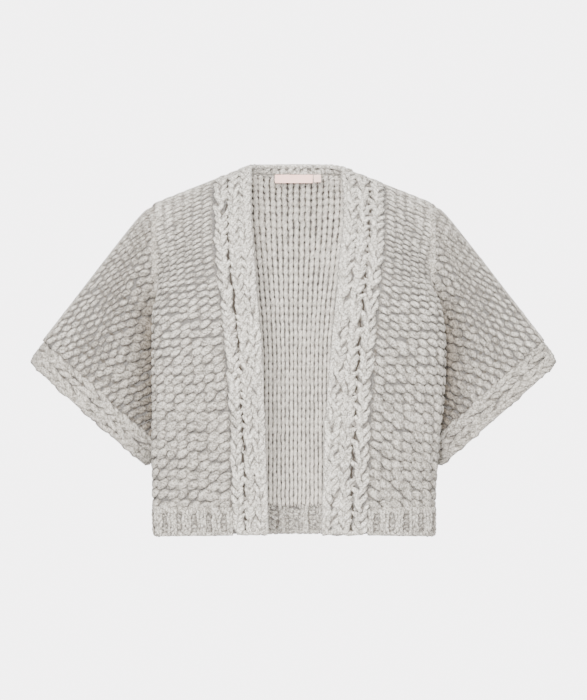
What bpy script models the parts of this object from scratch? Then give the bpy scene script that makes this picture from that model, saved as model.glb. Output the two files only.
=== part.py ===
"""A short-sleeve open cardigan in chunky knit, filled out as it is worn.

Metres, +Z up. The front faces -Y and the wearer's left is +X. The origin is the middle of the neck,
level with the top of the back neck, where the wearer's shoulders carry the garment.
Every cloth piece is a wall: a grid of outer points, and the same grid moved in by the wall's thickness.
"""
import math

import bmesh
import bpy
import numpy as np

# Walls and seams
BODY_WALL = 0.0062
BAND_WALL = 0.0060
RIB_WALL = 0.0058
BAND_HUMP = 0.0034
CUFF_HUMP = 0.0030
RIB_HUMP = 0.0030
SHOULDER_HUMP = 0.35
SHOULDER_HUMP_DROP = 0.050
SEAM_GAP = 0.0003
HALF_GAP = 0.5 * SEAM_GAP
HUMP_POWER = 0.6

# Shoulder and sleeve ridge, as seen from the front
NECK_HALF = 0.0575
SHOULDER_X = 0.2144
SHOULDER_SLOPE = math.tan(math.radians(21.5))
SLEEVE_SLOPE = math.tan(math.radians(52.4))
NECK_SOFT = 0.0015
SHOULDER_SOFT = 0.0054

# Body heights
RIB_TOP = -0.500
FRONT_HEM = -0.535
BACK_HEM = -0.541
BAND_BOTTOM = -0.527

# Side fold, where the front turns in behind its own edge and the sleeve comes out
ARM_TOP_X = 0.202
UNDERARM_Z = -0.406
ARMHOLE_POWER = 2.4
ARMHOLE_HALF_TOP = 0.044
ARMHOLE_HALF_FOLD = 0.027
FOLD_START_Z = -0.105
FOLD_FULL_Z = -0.225
CHEST_POWER = 2.6
SMOOTH_HALF_WIDTH = 0.300
SMOOTH_FROM_X = 0.125
FOLD_SHARE = 0.76

# Cuff: its outer edge runs from the tip to the underarm, and its tube goes up along the arm
CUFF_TIP = (0.3825, -0.2875)
CUFF_LOW = (0.2115, -0.4385)
CUFF_HALF_DEPTH = 0.038
CUFF_POWER = 2.2
CUFF_WIDTH = 0.035
SLEEVE_EASE = 3.0
RIDGE_FADE = 3.0
RIDGE_BLEND = 0.010

# Neck trim
NECK_POWER = 2.3
NECK_SEAM_Y = 0.045
NECK_EDGE_Y = 0.038
EDGE_COLUMN = 0.018

# Labels inside the back neck
LABEL_RIGHT_X = -0.027
LABEL_LEFT_X = 0.028
LABEL_TOP_Z = -0.0155
LABEL_TALL = 0.0120
TAB_RIGHT_X = 0.0295
TAB_LEFT_X = 0.0400
TAB_TALL = 0.0110
LABEL_THICK = 0.0009

BODY_COLUMNS = (
    "height", "right_half", "left_half", "seam_out", "front_depth", "front_edge", "back_depth", "back_edge",
)
BODY_SECTIONS = (
    (-0.545, 0.1990, 0.2020, 0.1975, 0.099, 0.058, 0.100, 0.054),
    (-0.500, 0.2015, 0.2030, 0.1930, 0.101, 0.060, 0.102, 0.055),
    (-0.450, 0.2025, 0.2050, 0.1845, 0.104, 0.062, 0.105, 0.056),
    (-0.400, 0.2025, 0.2095, 0.1820, 0.107, 0.063, 0.107, 0.057),
    (-0.330, 0.2025, 0.2160, 0.1840, 0.110, 0.063, 0.108, 0.057),
    (-0.250, 0.2025, 0.2180, 0.1880, 0.112, 0.062, 0.107, 0.056),
    (-0.180, 0.2020, 0.2100, 0.1965, 0.111, 0.061, 0.103, 0.055),
    (-0.120, 0.2020, 0.2030, 0.2010, 0.109, 0.060, 0.099, 0.054),
    (-0.060, 0.2020, 0.2020, 0.2020, 0.107, 0.060, 0.096, 0.053),
    (0.000, 0.2020, 0.2020, 0.2020, 0.106, 0.060, 0.095, 0.052),
)

BAND_COLUMNS = ("height", "right_inner", "right_outer", "left_inner", "left_outer")
BAND_EDGES = (
    (-0.545, 0.0366, 0.0862, 0.0412, 0.1060),
    (-0.430, 0.0404, 0.0880, 0.0438, 0.1074),
    (-0.350, 0.0432, 0.0910, 0.0482, 0.1097),
    (-0.270, 0.0462, 0.0972, 0.0550, 0.1150),
    (-0.200, 0.0525, 0.1030, 0.0616, 0.1201),
    (-0.130, 0.0566, 0.1125, 0.0665, 0.1280),
    (-0.060, 0.0605, 0.1148, 0.0705, 0.1310),
    (0.000, 0.0590, 0.1150, 0.0650, 0.1310),
)

# Where the band's raised columns begin and end, as shares of its width from the free edge
BAND_GROOVES = (0.0, 0.36, 0.67, 1.0)
CUFF_GROOVES = (0.0, 0.5, 1.0)

FRONT = {"name": "front", "sign": -1.0, "crown_drop": 0.200, "crown_power": 1.6}
BACK = {"name": "back", "sign": 1.0, "crown_drop": 0.118, "crown_power": 2.0}
SIDES = {"right": -1.0, "left": 1.0}

# Seam faces where two walls meet at an angle
MITER_LIMIT = 0.85
UNDERARM_MITER = (0.94, -0.33)

# Hem ribs
RIB_PITCH = 0.028

# Grid steps
ARM_ROWS = 12
LOW_ROWS = 3
ROW_SPREAD = 1.45
FRONT_COLS = 10
BACK_SIDE_COLS = 9
NECK_HALF_COLS = 5
SLEEVE_COLS = 8
CUFF_AROUND = 36
CUFF_STEPS = 3
BAND_STEPS = 3
TRIM_STEPS = 3
RIB_STEPS = 4
LABEL_COLS = 5
LABEL_ROWS = 2
DENSE = 240

YARN_GREY = (0.60, 0.59, 0.565, 1.0)
YARN_SHADE = (0.56, 0.55, 0.525, 1.0)
LABEL_PINK = (0.82, 0.68, 0.64, 1.0)
ROUGHNESS = 0.9
SHARP_ANGLE = math.radians(45)


def ease(share):
    """A smooth step from 0 to 1."""
    share = np.clip(share, 0.0, 1.0)
    return share * share * (3.0 - 2.0 * share)


def mix(first, second, share):
    """The value at a share of the way from the first to the second."""
    return first + (second - first) * share


def soft_min(first, second, softness):
    """The smaller of two values, rounded off where they meet."""
    half = 0.5 * (first - second)
    return 0.5 * (first + second) - np.sqrt(half * half + softness * softness)


def read_table(columns, rows, name, height):
    """A smooth curve through one named column of a table, read at any height."""
    grid = np.array(rows)
    x = grid[:, 0]
    y = grid[:, columns.index(name)]
    slope = np.gradient(y, x)
    height = np.clip(height, x[0], x[-1])
    low = np.clip(np.searchsorted(x, height) - 1, 0, len(x) - 2)
    span = x[low + 1] - x[low]
    t = (height - x[low]) / span
    start = y[low] * (1 + 2 * t) * (1 - t) ** 2 + slope[low] * span * t * (1 - t) ** 2
    end = y[low + 1] * t * t * (3 - 2 * t) + slope[low + 1] * span * t * t * (t - 1)
    return start + end


def body(name, height):
    """One size of the body at a height."""
    return read_table(BODY_COLUMNS, BODY_SECTIONS, name, height)


def band_edge(side, which, height):
    """Distance out of a band's inner or outer edge at a height."""
    return read_table(BAND_COLUMNS, BAND_EDGES, side + "_" + which, height)


def ridge(x):
    """Height of the shoulder and sleeve ridge at a distance from the middle."""
    shoulder = -SHOULDER_SLOPE * (x - NECK_HALF)
    sleeve = -SHOULDER_SLOPE * (SHOULDER_X - NECK_HALF) - SLEEVE_SLOPE * (x - SHOULDER_X)
    return soft_min(soft_min(0.0, shoulder, NECK_SOFT), sleeve, SHOULDER_SOFT)


def oval(turn, power):
    """A half oval: how far down it is, 0 to 1, and how deep, 0 to 1 to 0, at each turn from 0 to 1."""
    c = np.cos(math.pi * turn)
    s = np.clip(np.sin(math.pi * turn), 0.0, 1.0)
    return 0.5 * (1.0 - np.sign(c) * np.abs(c) ** (2.0 / power)), s ** (2.0 / power)


def crown(drop, face):
    """Share of the full depth that is reached at a drop below the ridge."""
    share = np.clip(drop / face["crown_drop"], 0.0, 1.0)
    power = face["crown_power"]
    return (1.0 - (1.0 - share) ** power) ** (1.0 / power)


ARM_TOP_Z = float(ridge(ARM_TOP_X))


def arm_seam(height):
    """Distance out and depth of the line where the side fold ends and the sleeve or side begins."""
    share = np.clip((ARM_TOP_Z - height) / (ARM_TOP_Z - UNDERARM_Z), 0.0, 1.0)
    round_off = (1.0 - np.abs(1.0 - 2.0 * share) ** ARMHOLE_POWER) ** (1.0 / ARMHOLE_POWER)
    depth = mix(ARMHOLE_HALF_TOP, ARMHOLE_HALF_FOLD, fold_weight(height)) * round_off
    return body("seam_out", height), depth


def fold_weight(height):
    """How far the side is rolled in behind the edge of the front or back, 0 to 1."""
    return ease((FOLD_START_Z - height) / (FOLD_START_Z - FOLD_FULL_Z))


def section(side, face, start, share, height):
    """Distance out and depth of the body wall at a share of the way from start to the side."""
    seam_x, seam_depth = arm_seam(height)
    half = body(side + "_half", height)
    edge = body(face["name"] + "_edge", height)
    belly = body(face["name"] + "_depth", height) - edge

    flat_x = mix(start, seam_x, share)
    flat = edge + belly * (1.0 - (flat_x / SMOOTH_HALF_WIDTH) ** CHEST_POWER) ** (1.0 / CHEST_POWER)
    flat = flat * crown(ridge(flat_x) - height, face)
    toward = ease((flat_x - SMOOTH_FROM_X) / (seam_x - SMOOTH_FROM_X))
    _, level_depth = arm_seam(height - ridge(flat_x) + ridge(seam_x))
    flat = mix(flat, level_depth, toward)

    first = np.arcsin(np.clip(start / half, 0.0, 1.0) ** (CHEST_POWER / 2.0))
    angle = mix(first, math.pi / 2, np.clip(share / FOLD_SHARE, 0.0, 1.0))
    round_x = half * np.sin(angle) ** (2.0 / CHEST_POWER)
    swell = np.clip(np.cos(angle), 0.0, 1.0) ** (2.0 / CHEST_POWER)
    round_y = (edge + belly * swell) * crown(ridge(round_x) - height, face)
    inward = np.clip((share - FOLD_SHARE) / (1.0 - FOLD_SHARE), 0.0, 1.0)
    round_x = round_x - (half - seam_x) * 0.5 * (1.0 - np.cos(math.pi * inward))
    round_y = mix(round_y, seam_depth, inward)

    weight = fold_weight(height)
    return mix(flat_x, round_x, weight), mix(flat, round_y, weight)


def place(side, face, x, depth, height):
    """World points from distances out, depths and heights."""
    x, depth, height = np.broadcast_arrays(x, depth, height)
    return np.stack((SIDES[side] * x, face["sign"] * depth, height), axis=-1)


def normals(points, outward, wrap=False):
    """Unit normals of a grid of points, turned to the side where outward points away."""
    down = np.gradient(points, axis=0)
    across = np.gradient(points, axis=1)
    if wrap:
        across = 0.5 * (np.roll(points, -1, axis=1) - np.roll(points, 1, axis=1))
    cross = np.cross(down, across)
    cross /= np.linalg.norm(cross, axis=-1, keepdims=True)
    middle = cross[cross.shape[0] // 2, cross.shape[1] // 2]
    return cross if np.dot(middle, outward) > 0 else -cross


def flatten(vectors, axis):
    """The same vectors with one component taken out, at unit length."""
    vectors = vectors.copy()
    vectors[..., axis] = 0.0
    return vectors / np.linalg.norm(vectors, axis=-1, keepdims=True)


def miter(first, second):
    """Outward vectors at a seam, shared by two walls whose normals differ."""
    dot = np.sum(first * second, axis=-1, keepdims=True)
    return (first + second) / np.maximum(1.0 + dot, MITER_LIMIT)


def seam_shift(edge, shared, toward):
    """Unit vectors across a seam's own face, pointing to the side where toward lies."""
    shift = np.cross(np.gradient(edge, axis=0), shared)
    shift /= np.linalg.norm(shift, axis=-1, keepdims=True)
    middle = len(edge) // 2
    return shift * np.sign(np.dot(shift[middle], toward[middle] - edge[middle]))


def make_material(name, colour, roughness):
    material = bpy.data.materials.new(name)
    material.use_nodes = True
    shader = material.node_tree.nodes["Principled BSDF"]
    shader.inputs["Base Color"].default_value = colour
    shader.inputs["Roughness"].default_value = roughness
    shader.inputs["Metallic"].default_value = 0.0
    return material


def make_wall(name, outer, inner, colour, wrap=False):
    """One closed wall between an outer and an inner grid of points."""
    rows, cols = outer.shape[:2]
    mesh = bmesh.new()
    grids = []
    for grid in (outer, inner):
        grids.append([[mesh.verts.new(grid[r, c]) for c in range(cols)] for r in range(rows)])
    last = cols if wrap else cols - 1
    for r in range(rows - 1):
        for c in range(last):
            n = (c + 1) % cols
            for grid in grids:
                mesh.faces.new((grid[r][c], grid[r][n], grid[r + 1][n], grid[r + 1][c]))
    top, low = grids
    for r in (0, rows - 1):
        for c in range(last):
            n = (c + 1) % cols
            mesh.faces.new((top[r][c], top[r][n], low[r][n], low[r][c]))
    if not wrap:
        for c in (0, cols - 1):
            for r in range(rows - 1):
                mesh.faces.new((top[r][c], top[r + 1][c], low[r + 1][c], low[r][c]))
    bmesh.ops.recalc_face_normals(mesh, faces=mesh.faces[:])
    bmesh.ops.triangulate(mesh, faces=mesh.faces[:])
    data = bpy.data.meshes.new(name)
    mesh.to_mesh(data)
    mesh.free()
    data.shade_smooth()
    data.set_sharp_from_angle(angle=SHARP_ANGLE)
    piece = bpy.data.objects.new(name, data)
    bpy.context.scene.collection.objects.link(piece)
    piece.data.materials.append(make_material(name + "_yarn", colour, ROUGHNESS))
    return piece


def humps(shares, grooves, height):
    """Raise of rounded columns between grooves, at shares across a band."""
    raised = np.zeros_like(shares)
    for low, high in zip(grooves[:-1], grooves[1:]):
        inside = np.clip((shares - low) / (high - low), 0.0, 1.0)
        raised = np.maximum(raised, height * np.sin(math.pi * inside) ** HUMP_POWER)
    return raised


def column_shares(grooves, steps):
    """Shares across a band: both grooves of each column and the points between them."""
    shares = [0.0]
    for low, high in zip(grooves[:-1], grooves[1:]):
        shares += [mix(low, high, k / steps) for k in range(1, steps + 1)]
    return np.array(shares)


def arm_turns():
    """Even turns round half the armhole, from the ridge to the underarm."""
    return np.linspace(0.0, 1.0, ARM_ROWS + 1)


def arm_heights():
    """Heights of the rows where the sleeve meets the body."""
    down, _ = oval(arm_turns(), ARMHOLE_POWER)
    return mix(ARM_TOP_Z, UNDERARM_Z, down)


def row_shares(top_z, bottom_z):
    """Row places at the side seam, as shares of the height from the ridge to the rib."""
    low = np.linspace(UNDERARM_Z, bottom_z, LOW_ROWS + 1)[1:]
    heights = np.concatenate((arm_heights(), low))
    return (top_z - heights) / (top_z - bottom_z)


def band_rows():
    """Row places along the band, as shares of the height from the ridge to the rib."""
    return np.linspace(0.0, 1.0, ARM_ROWS + LOW_ROWS + 1) ** ROW_SPREAD


def front_points(side):
    """Outer points of a front, rows from the ridge down, columns from the band to the side."""
    shares = np.linspace(0.0, 1.0, FRONT_COLS + 1)
    top_x = mix(band_edge(side, "outer", 0.0), ARM_TOP_X, shares)
    top_z = ridge(top_x)
    at_side = row_shares(ARM_TOP_Z, RIB_TOP)
    at_band = band_rows()
    rows = mix(at_band[:, None], at_side[:, None], ease(shares)[None, :])
    height = top_z[None, :] + (RIB_TOP - top_z[None, :]) * rows
    start = band_edge(side, "outer", height)
    x, depth = section(side, FRONT, start, shares[None, :], height)
    return place(side, FRONT, x, depth, height)


def neck_seam(side, turn):
    """Distance out and depth of the seam between the neck trim and the back, turn 0 at the middle."""
    out = np.sin(0.5 * math.pi * turn) ** (2.0 / NECK_POWER)
    back = np.clip(np.cos(0.5 * math.pi * turn), 0.0, 1.0) ** (2.0 / NECK_POWER)
    return out * (band_edge(side, "inner", 0.0) + EDGE_COLUMN), NECK_SEAM_Y * back


def neck_edge(side, turn):
    """Distance out, depth and height of the neck trim's free edge."""
    out = np.sin(0.5 * math.pi * turn) ** (2.0 / NECK_POWER)
    back = np.clip(np.cos(0.5 * math.pi * turn), 0.0, 1.0) ** (2.0 / NECK_POWER)
    x = out * band_edge(side, "inner", 0.0)
    return x, NECK_EDGE_Y * back, ridge(x)


def back_top(side, x, depth):
    """Height of the back's crown at a distance out and a depth."""
    drops = np.linspace(0.0, 1.0, DENSE) ** 2 * BACK["crown_drop"]
    heights = np.zeros_like(x)
    for i, (out, deep) in enumerate(zip(x, depth)):
        levels = ridge(out) - drops
        seam_x, _ = arm_seam(levels)
        _, reached = section(side, BACK, 0.0, out / seam_x, levels)
        heights[i] = np.interp(deep, reached, levels)
    return heights


def back_half_points(side):
    """Outer points of half the back, columns from the middle to the side."""
    turns = np.linspace(0.0, 1.0, NECK_HALF_COLS + 1)
    neck_x, neck_depth = neck_seam(side, turns)
    side_x = np.linspace(neck_x[-1], ARM_TOP_X, BACK_SIDE_COLS + 1)[1:]
    top_x = np.concatenate((neck_x, side_x))
    top_depth = np.concatenate((neck_depth, np.zeros(BACK_SIDE_COLS)))
    shares = top_x / ARM_TOP_X
    top_z = ridge(top_x)
    inside_neck = top_depth > 0.0
    top_z[inside_neck] = back_top(side, top_x[inside_neck], top_depth[inside_neck])
    at_side = row_shares(ARM_TOP_Z, RIB_TOP)
    at_middle = band_rows()
    rows = mix(at_middle[:, None], at_side[:, None], ease(shares)[None, :])
    height = top_z[None, :] + (RIB_TOP - top_z[None, :]) * rows
    x, depth = section(side, BACK, 0.0, shares[None, :], height)
    return place(side, BACK, x, depth, height)


def back_points():
    """Outer points of the whole back, columns from the wearer's right to the left."""
    right = back_half_points("right")[:, ::-1]
    left = back_half_points("left")[:, 1:]
    return np.concatenate((right, left), axis=1)


def cuff_point(turn, up):
    """Distance out, depth and height on the cuff's tube, at a distance up the arm from its edge."""
    across, deep = oval(turn, CUFF_POWER)
    arm_x = math.cos(math.atan(SLEEVE_SLOPE))
    arm_z = -math.sin(math.atan(SLEEVE_SLOPE))
    x = mix(CUFF_TIP[0], CUFF_LOW[0], across) - arm_x * up
    z = mix(CUFF_TIP[1], CUFF_LOW[1], across) - arm_z * up
    return x, CUFF_HALF_DEPTH * deep, z


def sleeve_points(side, face):
    """Outer points of half a sleeve, rows from the ridge to the underarm, columns out to the cuff."""
    turns = arm_turns()
    down, _ = oval(turns, ARMHOLE_POWER)
    start_z = arm_heights()
    start_x, start_depth = arm_seam(start_z)
    end_x, end_depth, end_z = cuff_point(turns, CUFF_WIDTH)
    shares = np.linspace(0.0, 1.0, SLEEVE_COLS + 1)[None, :]
    x = mix(start_x[:, None], end_x[:, None], shares)
    chord = mix(start_z[:, None], end_z[:, None], shares)
    ridge_chord = mix(start_z[0], end_z[0], (x - start_x[0]) / (end_x[0] - start_x[0]))
    bow = (ridge(x) - ridge_chord) * np.clip(1.0 - down[:, None], 0.0, 1.0) ** RIDGE_FADE
    bow *= np.clip((x - start_x[0]) / RIDGE_BLEND, 0.0, 1.0)
    depth = mix(start_depth[:, None], end_depth[:, None], 1.0 - (1.0 - shares) ** SLEEVE_EASE)
    return place(side, face, x, depth, chord + bow)


def front_band_points(side):
    """Points of a front band, and how far each is raised."""
    shares = column_shares(BAND_GROOVES, BAND_STEPS)
    top_x = mix(band_edge(side, "inner", 0.0), band_edge(side, "outer", 0.0), shares)
    top_z = ridge(top_x)
    height = top_z[None, :] + (RIB_TOP - top_z[None, :]) * band_rows()[:, None]
    height = np.concatenate((height, np.full((1, len(shares)), BAND_BOTTOM)))
    x = mix(band_edge(side, "inner", height), band_edge(side, "outer", height), shares[None, :])
    _, depth = section(side, FRONT, x, 0.0, height)
    rise = mix(SHOULDER_HUMP, 1.0, ease((top_z[0] - height[:, :1]) / SHOULDER_HUMP_DROP))
    return place(side, FRONT, x, depth, height), rise * humps(shares, BAND_GROOVES, BAND_HUMP)


def cuff_frame(side):
    """Unit vectors of a cuff: from its tip to its low end, and square to its plane, out along the arm."""
    sign = SIDES[side]
    across = np.array((sign * (CUFF_LOW[0] - CUFF_TIP[0]), 0.0, CUFF_LOW[1] - CUFF_TIP[1]))
    across /= np.linalg.norm(across)
    out = np.array((-across[2] * sign, 0.0, across[0] * sign))
    return across, out


def in_plane(vectors, square_to):
    """The same vectors laid into the plane square to one direction, at unit length."""
    laid = vectors - np.sum(vectors * square_to, axis=-1, keepdims=True) * square_to
    return laid / np.linalg.norm(laid, axis=-1, keepdims=True)


def build_panels():
    """Fronts, back and sleeves, with shared seam faces where the sleeves come out of the side folds."""
    back = back_points()
    back_out = normals(back, (0.0, 1.0, 0.0))
    arm = slice(0, ARM_ROWS + 1)
    low = slice(ARM_ROWS + 1, None)
    back_shift = {}
    for side in SIDES:
        sign = SIDES[side]
        front = front_points(side)
        front_out = normals(front, (0.0, -1.0, 0.0))
        back_col = 0 if side == "right" else -1
        side_out = flatten(front_out[low, -1], 1)
        front_out[0] = flatten(front_out[0], 1)
        front_out[:, 0] = flatten(front_out[:, 0], 0)
        front_out[low, -1] = side_out
        back_out[low, back_col] = side_out
        front_out[-1] = flatten(front_out[-1], 2)
        for face in (FRONT, BACK):
            sleeve = sleeve_points(side, face)
            sleeve_out = normals(sleeve, (0.0, face["sign"], 0.0))
            sleeve_out[0] = flatten(sleeve_out[0], 1)
            sleeve_out[-1] = flatten(sleeve_out[-1], 1)
            panel_out = front_out[arm, -1] if face is FRONT else back_out[arm, back_col]
            shared = miter(panel_out, sleeve_out[:, 0])
            shared[0] = flatten(shared[0], 1)
            shared[-1] = (sign * UNDERARM_MITER[0], 0.0, UNDERARM_MITER[1])
            shift = seam_shift(sleeve[:, 0], shared, sleeve[:, 1]) * HALF_GAP
            _, cuff_out = cuff_frame(side)
            sleeve_out[:, -1] = in_plane(sleeve_out[:, -1], cuff_out)
            sleeve_out[:, 0] = shared
            sleeve[:, 0] += shift
            sleeve[:, -1] -= cuff_out * HALF_GAP
            sleeve[0, :, 1] = face["sign"] * HALF_GAP
            sleeve[-1, :, 1] = face["sign"] * HALF_GAP
            name = "sleeve_" + face["name"] + "_" + side
            make_wall(name, sleeve, sleeve - BODY_WALL * sleeve_out, YARN_SHADE)
            if face is FRONT:
                front_out[arm, -1] = shared
                front[arm, -1] -= shift
            else:
                back_out[arm, back_col] = shared
                back_shift[back_col] = shift
        front[ARM_ROWS:, -1, 1] = -HALF_GAP
        front[0, :, 1] = -HALF_GAP
        front[:, 0, 0] += sign * HALF_GAP
        front[-1, :, 2] += HALF_GAP
        make_wall("front_" + side, front, front - BODY_WALL * front_out, YARN_GREY)
    build_back_and_trim(back, back_out, back_shift)


def build_back_and_trim(back, back_out, back_shift):
    """The back panel, and the one-column trim that stands on its neck edge."""
    middle = NECK_HALF_COLS + BACK_SIDE_COLS
    neck = slice(middle - NECK_HALF_COLS, middle + NECK_HALF_COLS + 1)
    seam = back[0, neck]
    turns = np.linspace(0.0, 1.0, NECK_HALF_COLS + 1)
    edges = []
    for side in SIDES:
        x, depth, height = neck_edge(side, turns)
        edges.append(place(side, BACK, x, depth, height))
    edge = np.concatenate((edges[0][::-1], edges[1][1:]))
    shares = column_shares((0.0, 1.0), TRIM_STEPS)
    trim = mix(seam[None], edge[None], shares[:, None, None])
    trim_out = normals(trim, (0.0, 1.0, 0.0))
    back_out[0] = flatten_ends(back_out[0], neck)
    shared = miter(back_out[0, neck], trim_out[0])
    shift = seam_shift(seam, shared, trim[1]) * HALF_GAP
    trim_out[0] = shared
    trim_out[:, 0] = flatten(trim_out[:, 0], 1)
    trim_out[:, -1] = flatten(trim_out[:, -1], 1)
    back_out[0, neck] = shared
    back_out[0, neck.start] = trim_out[0, 0]
    back_out[0, neck.stop - 1] = trim_out[0, -1]
    back_out[-1] = flatten(back_out[-1], 2)
    back[0, neck] -= shift
    trim[0] += shift
    for col, shifted in back_shift.items():
        back[:ARM_ROWS + 1, col] -= shifted
        back[ARM_ROWS:, col, 1] = HALF_GAP
    back[0, :neck.start + 1, 1] = HALF_GAP
    back[0, neck.stop - 1:, 1] = HALF_GAP
    back[-1, :, 2] += HALF_GAP
    make_wall("back", back, back - BODY_WALL * back_out, YARN_GREY)
    trim[:, 0, 1] = HALF_GAP
    trim[:, -1, 1] = HALF_GAP
    raised = humps(shares, (0.0, 1.0), BAND_HUMP)[:, None, None]
    trim_in = trim - BAND_WALL * trim_out
    make_wall("neck_band", trim + raised * trim_out, trim_in, YARN_SHADE)
    build_labels(trim_in)


def flatten_ends(vectors, middle):
    """Take the depth out of the ridge part of a row, on both sides of its middle."""
    vectors = vectors.copy()
    vectors[:middle.start + 1] = flatten(vectors[:middle.start + 1], 1)
    vectors[middle.stop - 1:] = flatten(vectors[middle.stop - 1:], 1)
    return vectors


def build_labels(trim_in):
    """A bare label and a small tab, sewn by their top edge to the inside of the trim."""
    seat = np.array([np.interp(LABEL_TOP_Z, column[:, 2], column[:, 1]) for column in trim_in.swapaxes(0, 1)])
    out = trim_in[0, :, 0]
    for name, low_x, high_x, tall in (
        ("neck_label", LABEL_RIGHT_X, LABEL_LEFT_X, LABEL_TALL),
        ("size_tab", TAB_RIGHT_X, TAB_LEFT_X, TAB_TALL),
    ):
        x = np.linspace(low_x, high_x, LABEL_COLS + 1)
        depth = np.interp(x, out, seat) - SEAM_GAP
        rows = np.linspace(0.0, 1.0, LABEL_ROWS + 1)[:, None]
        height = LABEL_TOP_Z - tall * rows
        back_face = np.stack(np.broadcast_arrays(x[None, :], depth[None, :], height), axis=-1)
        front_face = back_face - np.array((0.0, LABEL_THICK, 0.0))
        make_wall(name, front_face, back_face, LABEL_PINK)


def build_bands():
    """The two front bands, three raised columns each."""
    for side in SIDES:
        band, raised = front_band_points(side)
        out = normals(band, (0.0, -1.0, 0.0))
        out[0] = flatten(out[0], 1)
        out[:, -1] = flatten(out[:, -1], 0)
        out[-1] = flatten(out[-1], 2)
        band[0, :, 1] = -HALF_GAP
        band[:, -1, 0] -= SIDES[side] * HALF_GAP
        outer = band + raised[:, :, None] * out
        make_wall("front_band_" + side, outer, band - BAND_WALL * out, YARN_SHADE)


def build_cuffs():
    """The two cuff rings, two raised columns each."""
    turns = np.linspace(0.0, 1.0, CUFF_AROUND // 2 + 1)
    shares = column_shares(CUFF_GROOVES, CUFF_STEPS)
    raised = humps(shares, CUFF_GROOVES, CUFF_HUMP)
    for side in SIDES:
        across, cuff_out = cuff_frame(side)
        up = (1.0 - shares)[:, None] * CUFF_WIDTH
        halves = []
        for face, steps in ((FRONT, turns[:-1]), (BACK, turns[:0:-1])):
            x, depth, height = cuff_point(steps[None, :], up)
            halves.append(place(side, face, x, depth, height))
        ring = np.concatenate(halves, axis=1)
        out = in_plane(normals(ring, across, wrap=True), cuff_out)
        ring[0] += cuff_out * HALF_GAP
        outer = ring + raised[:, None, None] * out
        make_wall("cuff_" + side, outer, ring - BODY_WALL * out, YARN_SHADE, wrap=True)


def rib_run(face, side, start):
    """Shares along the hem that split it into even quarter ribs, from the start to the side seam."""
    dense = np.linspace(0.0, 1.0, DENSE)
    x, depth = section(side, face, start, dense, np.full(DENSE, RIB_TOP))
    length = np.concatenate(((0.0,), np.cumsum(np.hypot(np.diff(x), np.diff(depth)))))
    ribs = round(length[-1] / RIB_PITCH)
    steps = np.linspace(0.0, length[-1], ribs * RIB_STEPS + 1)
    return np.interp(steps, length, dense)


def build_ribs():
    """The ribbed hem: one piece on each front and one all across the back."""
    for side in SIDES:
        start = band_edge(side, "outer", RIB_TOP)
        shares = rib_run(FRONT, side, start)
        height = np.array((RIB_TOP - HALF_GAP, FRONT_HEM))[:, None] + 0.0 * shares[None, :]
        x, depth = section(side, FRONT, band_edge(side, "outer", height), shares[None, :], height)
        rib = place(side, FRONT, x, depth, height)
        out = normals(rib, (0.0, -1.0, 0.0))
        out[:, 0] = flatten(out[:, 0], 0)
        out[:, -1] = flatten(out[:, -1], 1)
        out[0] = flatten(out[0], 2)
        rib[:, 0, 0] += SIDES[side] * HALF_GAP
        rib[:, -1, 1] = -HALF_GAP
        make_rib("hem_rib_front_" + side, rib, out)
    shares = rib_run(BACK, "left", 0.0)
    height = np.array((RIB_TOP - HALF_GAP, BACK_HEM))[:, None] + 0.0 * shares[None, :]
    halves = []
    for side in SIDES:
        x, depth = section(side, BACK, 0.0, shares[None, :], height)
        halves.append(place(side, BACK, x, depth, height))
    rib = np.concatenate((halves[0][:, ::-1], halves[1][:, 1:]), axis=1)
    out = normals(rib, (0.0, 1.0, 0.0))
    out[:, 0] = flatten(out[:, 0], 1)
    out[:, -1] = flatten(out[:, -1], 1)
    out[0] = flatten(out[0], 2)
    rib[:, 0, 1] = HALF_GAP
    rib[:, -1, 1] = HALF_GAP
    make_rib("hem_rib_back", rib, out)


def make_rib(name, rib, out):
    """A hem wall with its ribs raised on the outside."""
    place_in_rib = np.arange(rib.shape[1]) % RIB_STEPS / RIB_STEPS
    raised = RIB_HUMP * np.sin(math.pi * place_in_rib) ** HUMP_POWER
    make_wall(name, rib + raised[None, :, None] * out, rib - RIB_WALL * out, YARN_SHADE)


def main():
    for item in list(bpy.data.objects):
        bpy.data.objects.remove(item, do_unlink=True)
    build_panels()
    build_bands()
    build_cuffs()
    build_ribs()


main()
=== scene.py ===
"""Looks of a short-sleeve open cardigan in chunky knit, where each course is one length of yarn.

The yarn waves along the fronts, the sleeves and the back's outside, and it loops in all the other courses.
Metres, +Z up. The front faces -Y and the wearer's left is +X. The form functions repeat the part's own sizes.
A panel is a grid of courses (v, counted down the panel) and stitches (u, counted across it).
"""
import math

import bpy
import numpy as np
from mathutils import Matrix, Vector


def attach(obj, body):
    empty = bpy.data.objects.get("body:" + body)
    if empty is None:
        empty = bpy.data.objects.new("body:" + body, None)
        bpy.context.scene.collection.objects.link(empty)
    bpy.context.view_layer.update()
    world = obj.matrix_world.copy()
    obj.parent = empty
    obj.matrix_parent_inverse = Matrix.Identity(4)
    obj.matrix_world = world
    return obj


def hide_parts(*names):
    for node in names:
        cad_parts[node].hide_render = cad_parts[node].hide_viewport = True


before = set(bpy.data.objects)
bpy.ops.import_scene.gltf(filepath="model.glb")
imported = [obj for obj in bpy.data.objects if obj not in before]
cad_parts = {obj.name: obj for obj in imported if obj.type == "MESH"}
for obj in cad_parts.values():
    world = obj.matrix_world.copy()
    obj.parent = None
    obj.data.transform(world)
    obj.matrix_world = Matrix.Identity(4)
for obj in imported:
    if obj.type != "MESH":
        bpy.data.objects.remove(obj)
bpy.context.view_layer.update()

# Walls, and the thin cloth behind the yarn
BODY_WALL = 0.0062
BAND_WALL = 0.0060
RIB_WALL = 0.0058
SHELL = 0.0012

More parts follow.
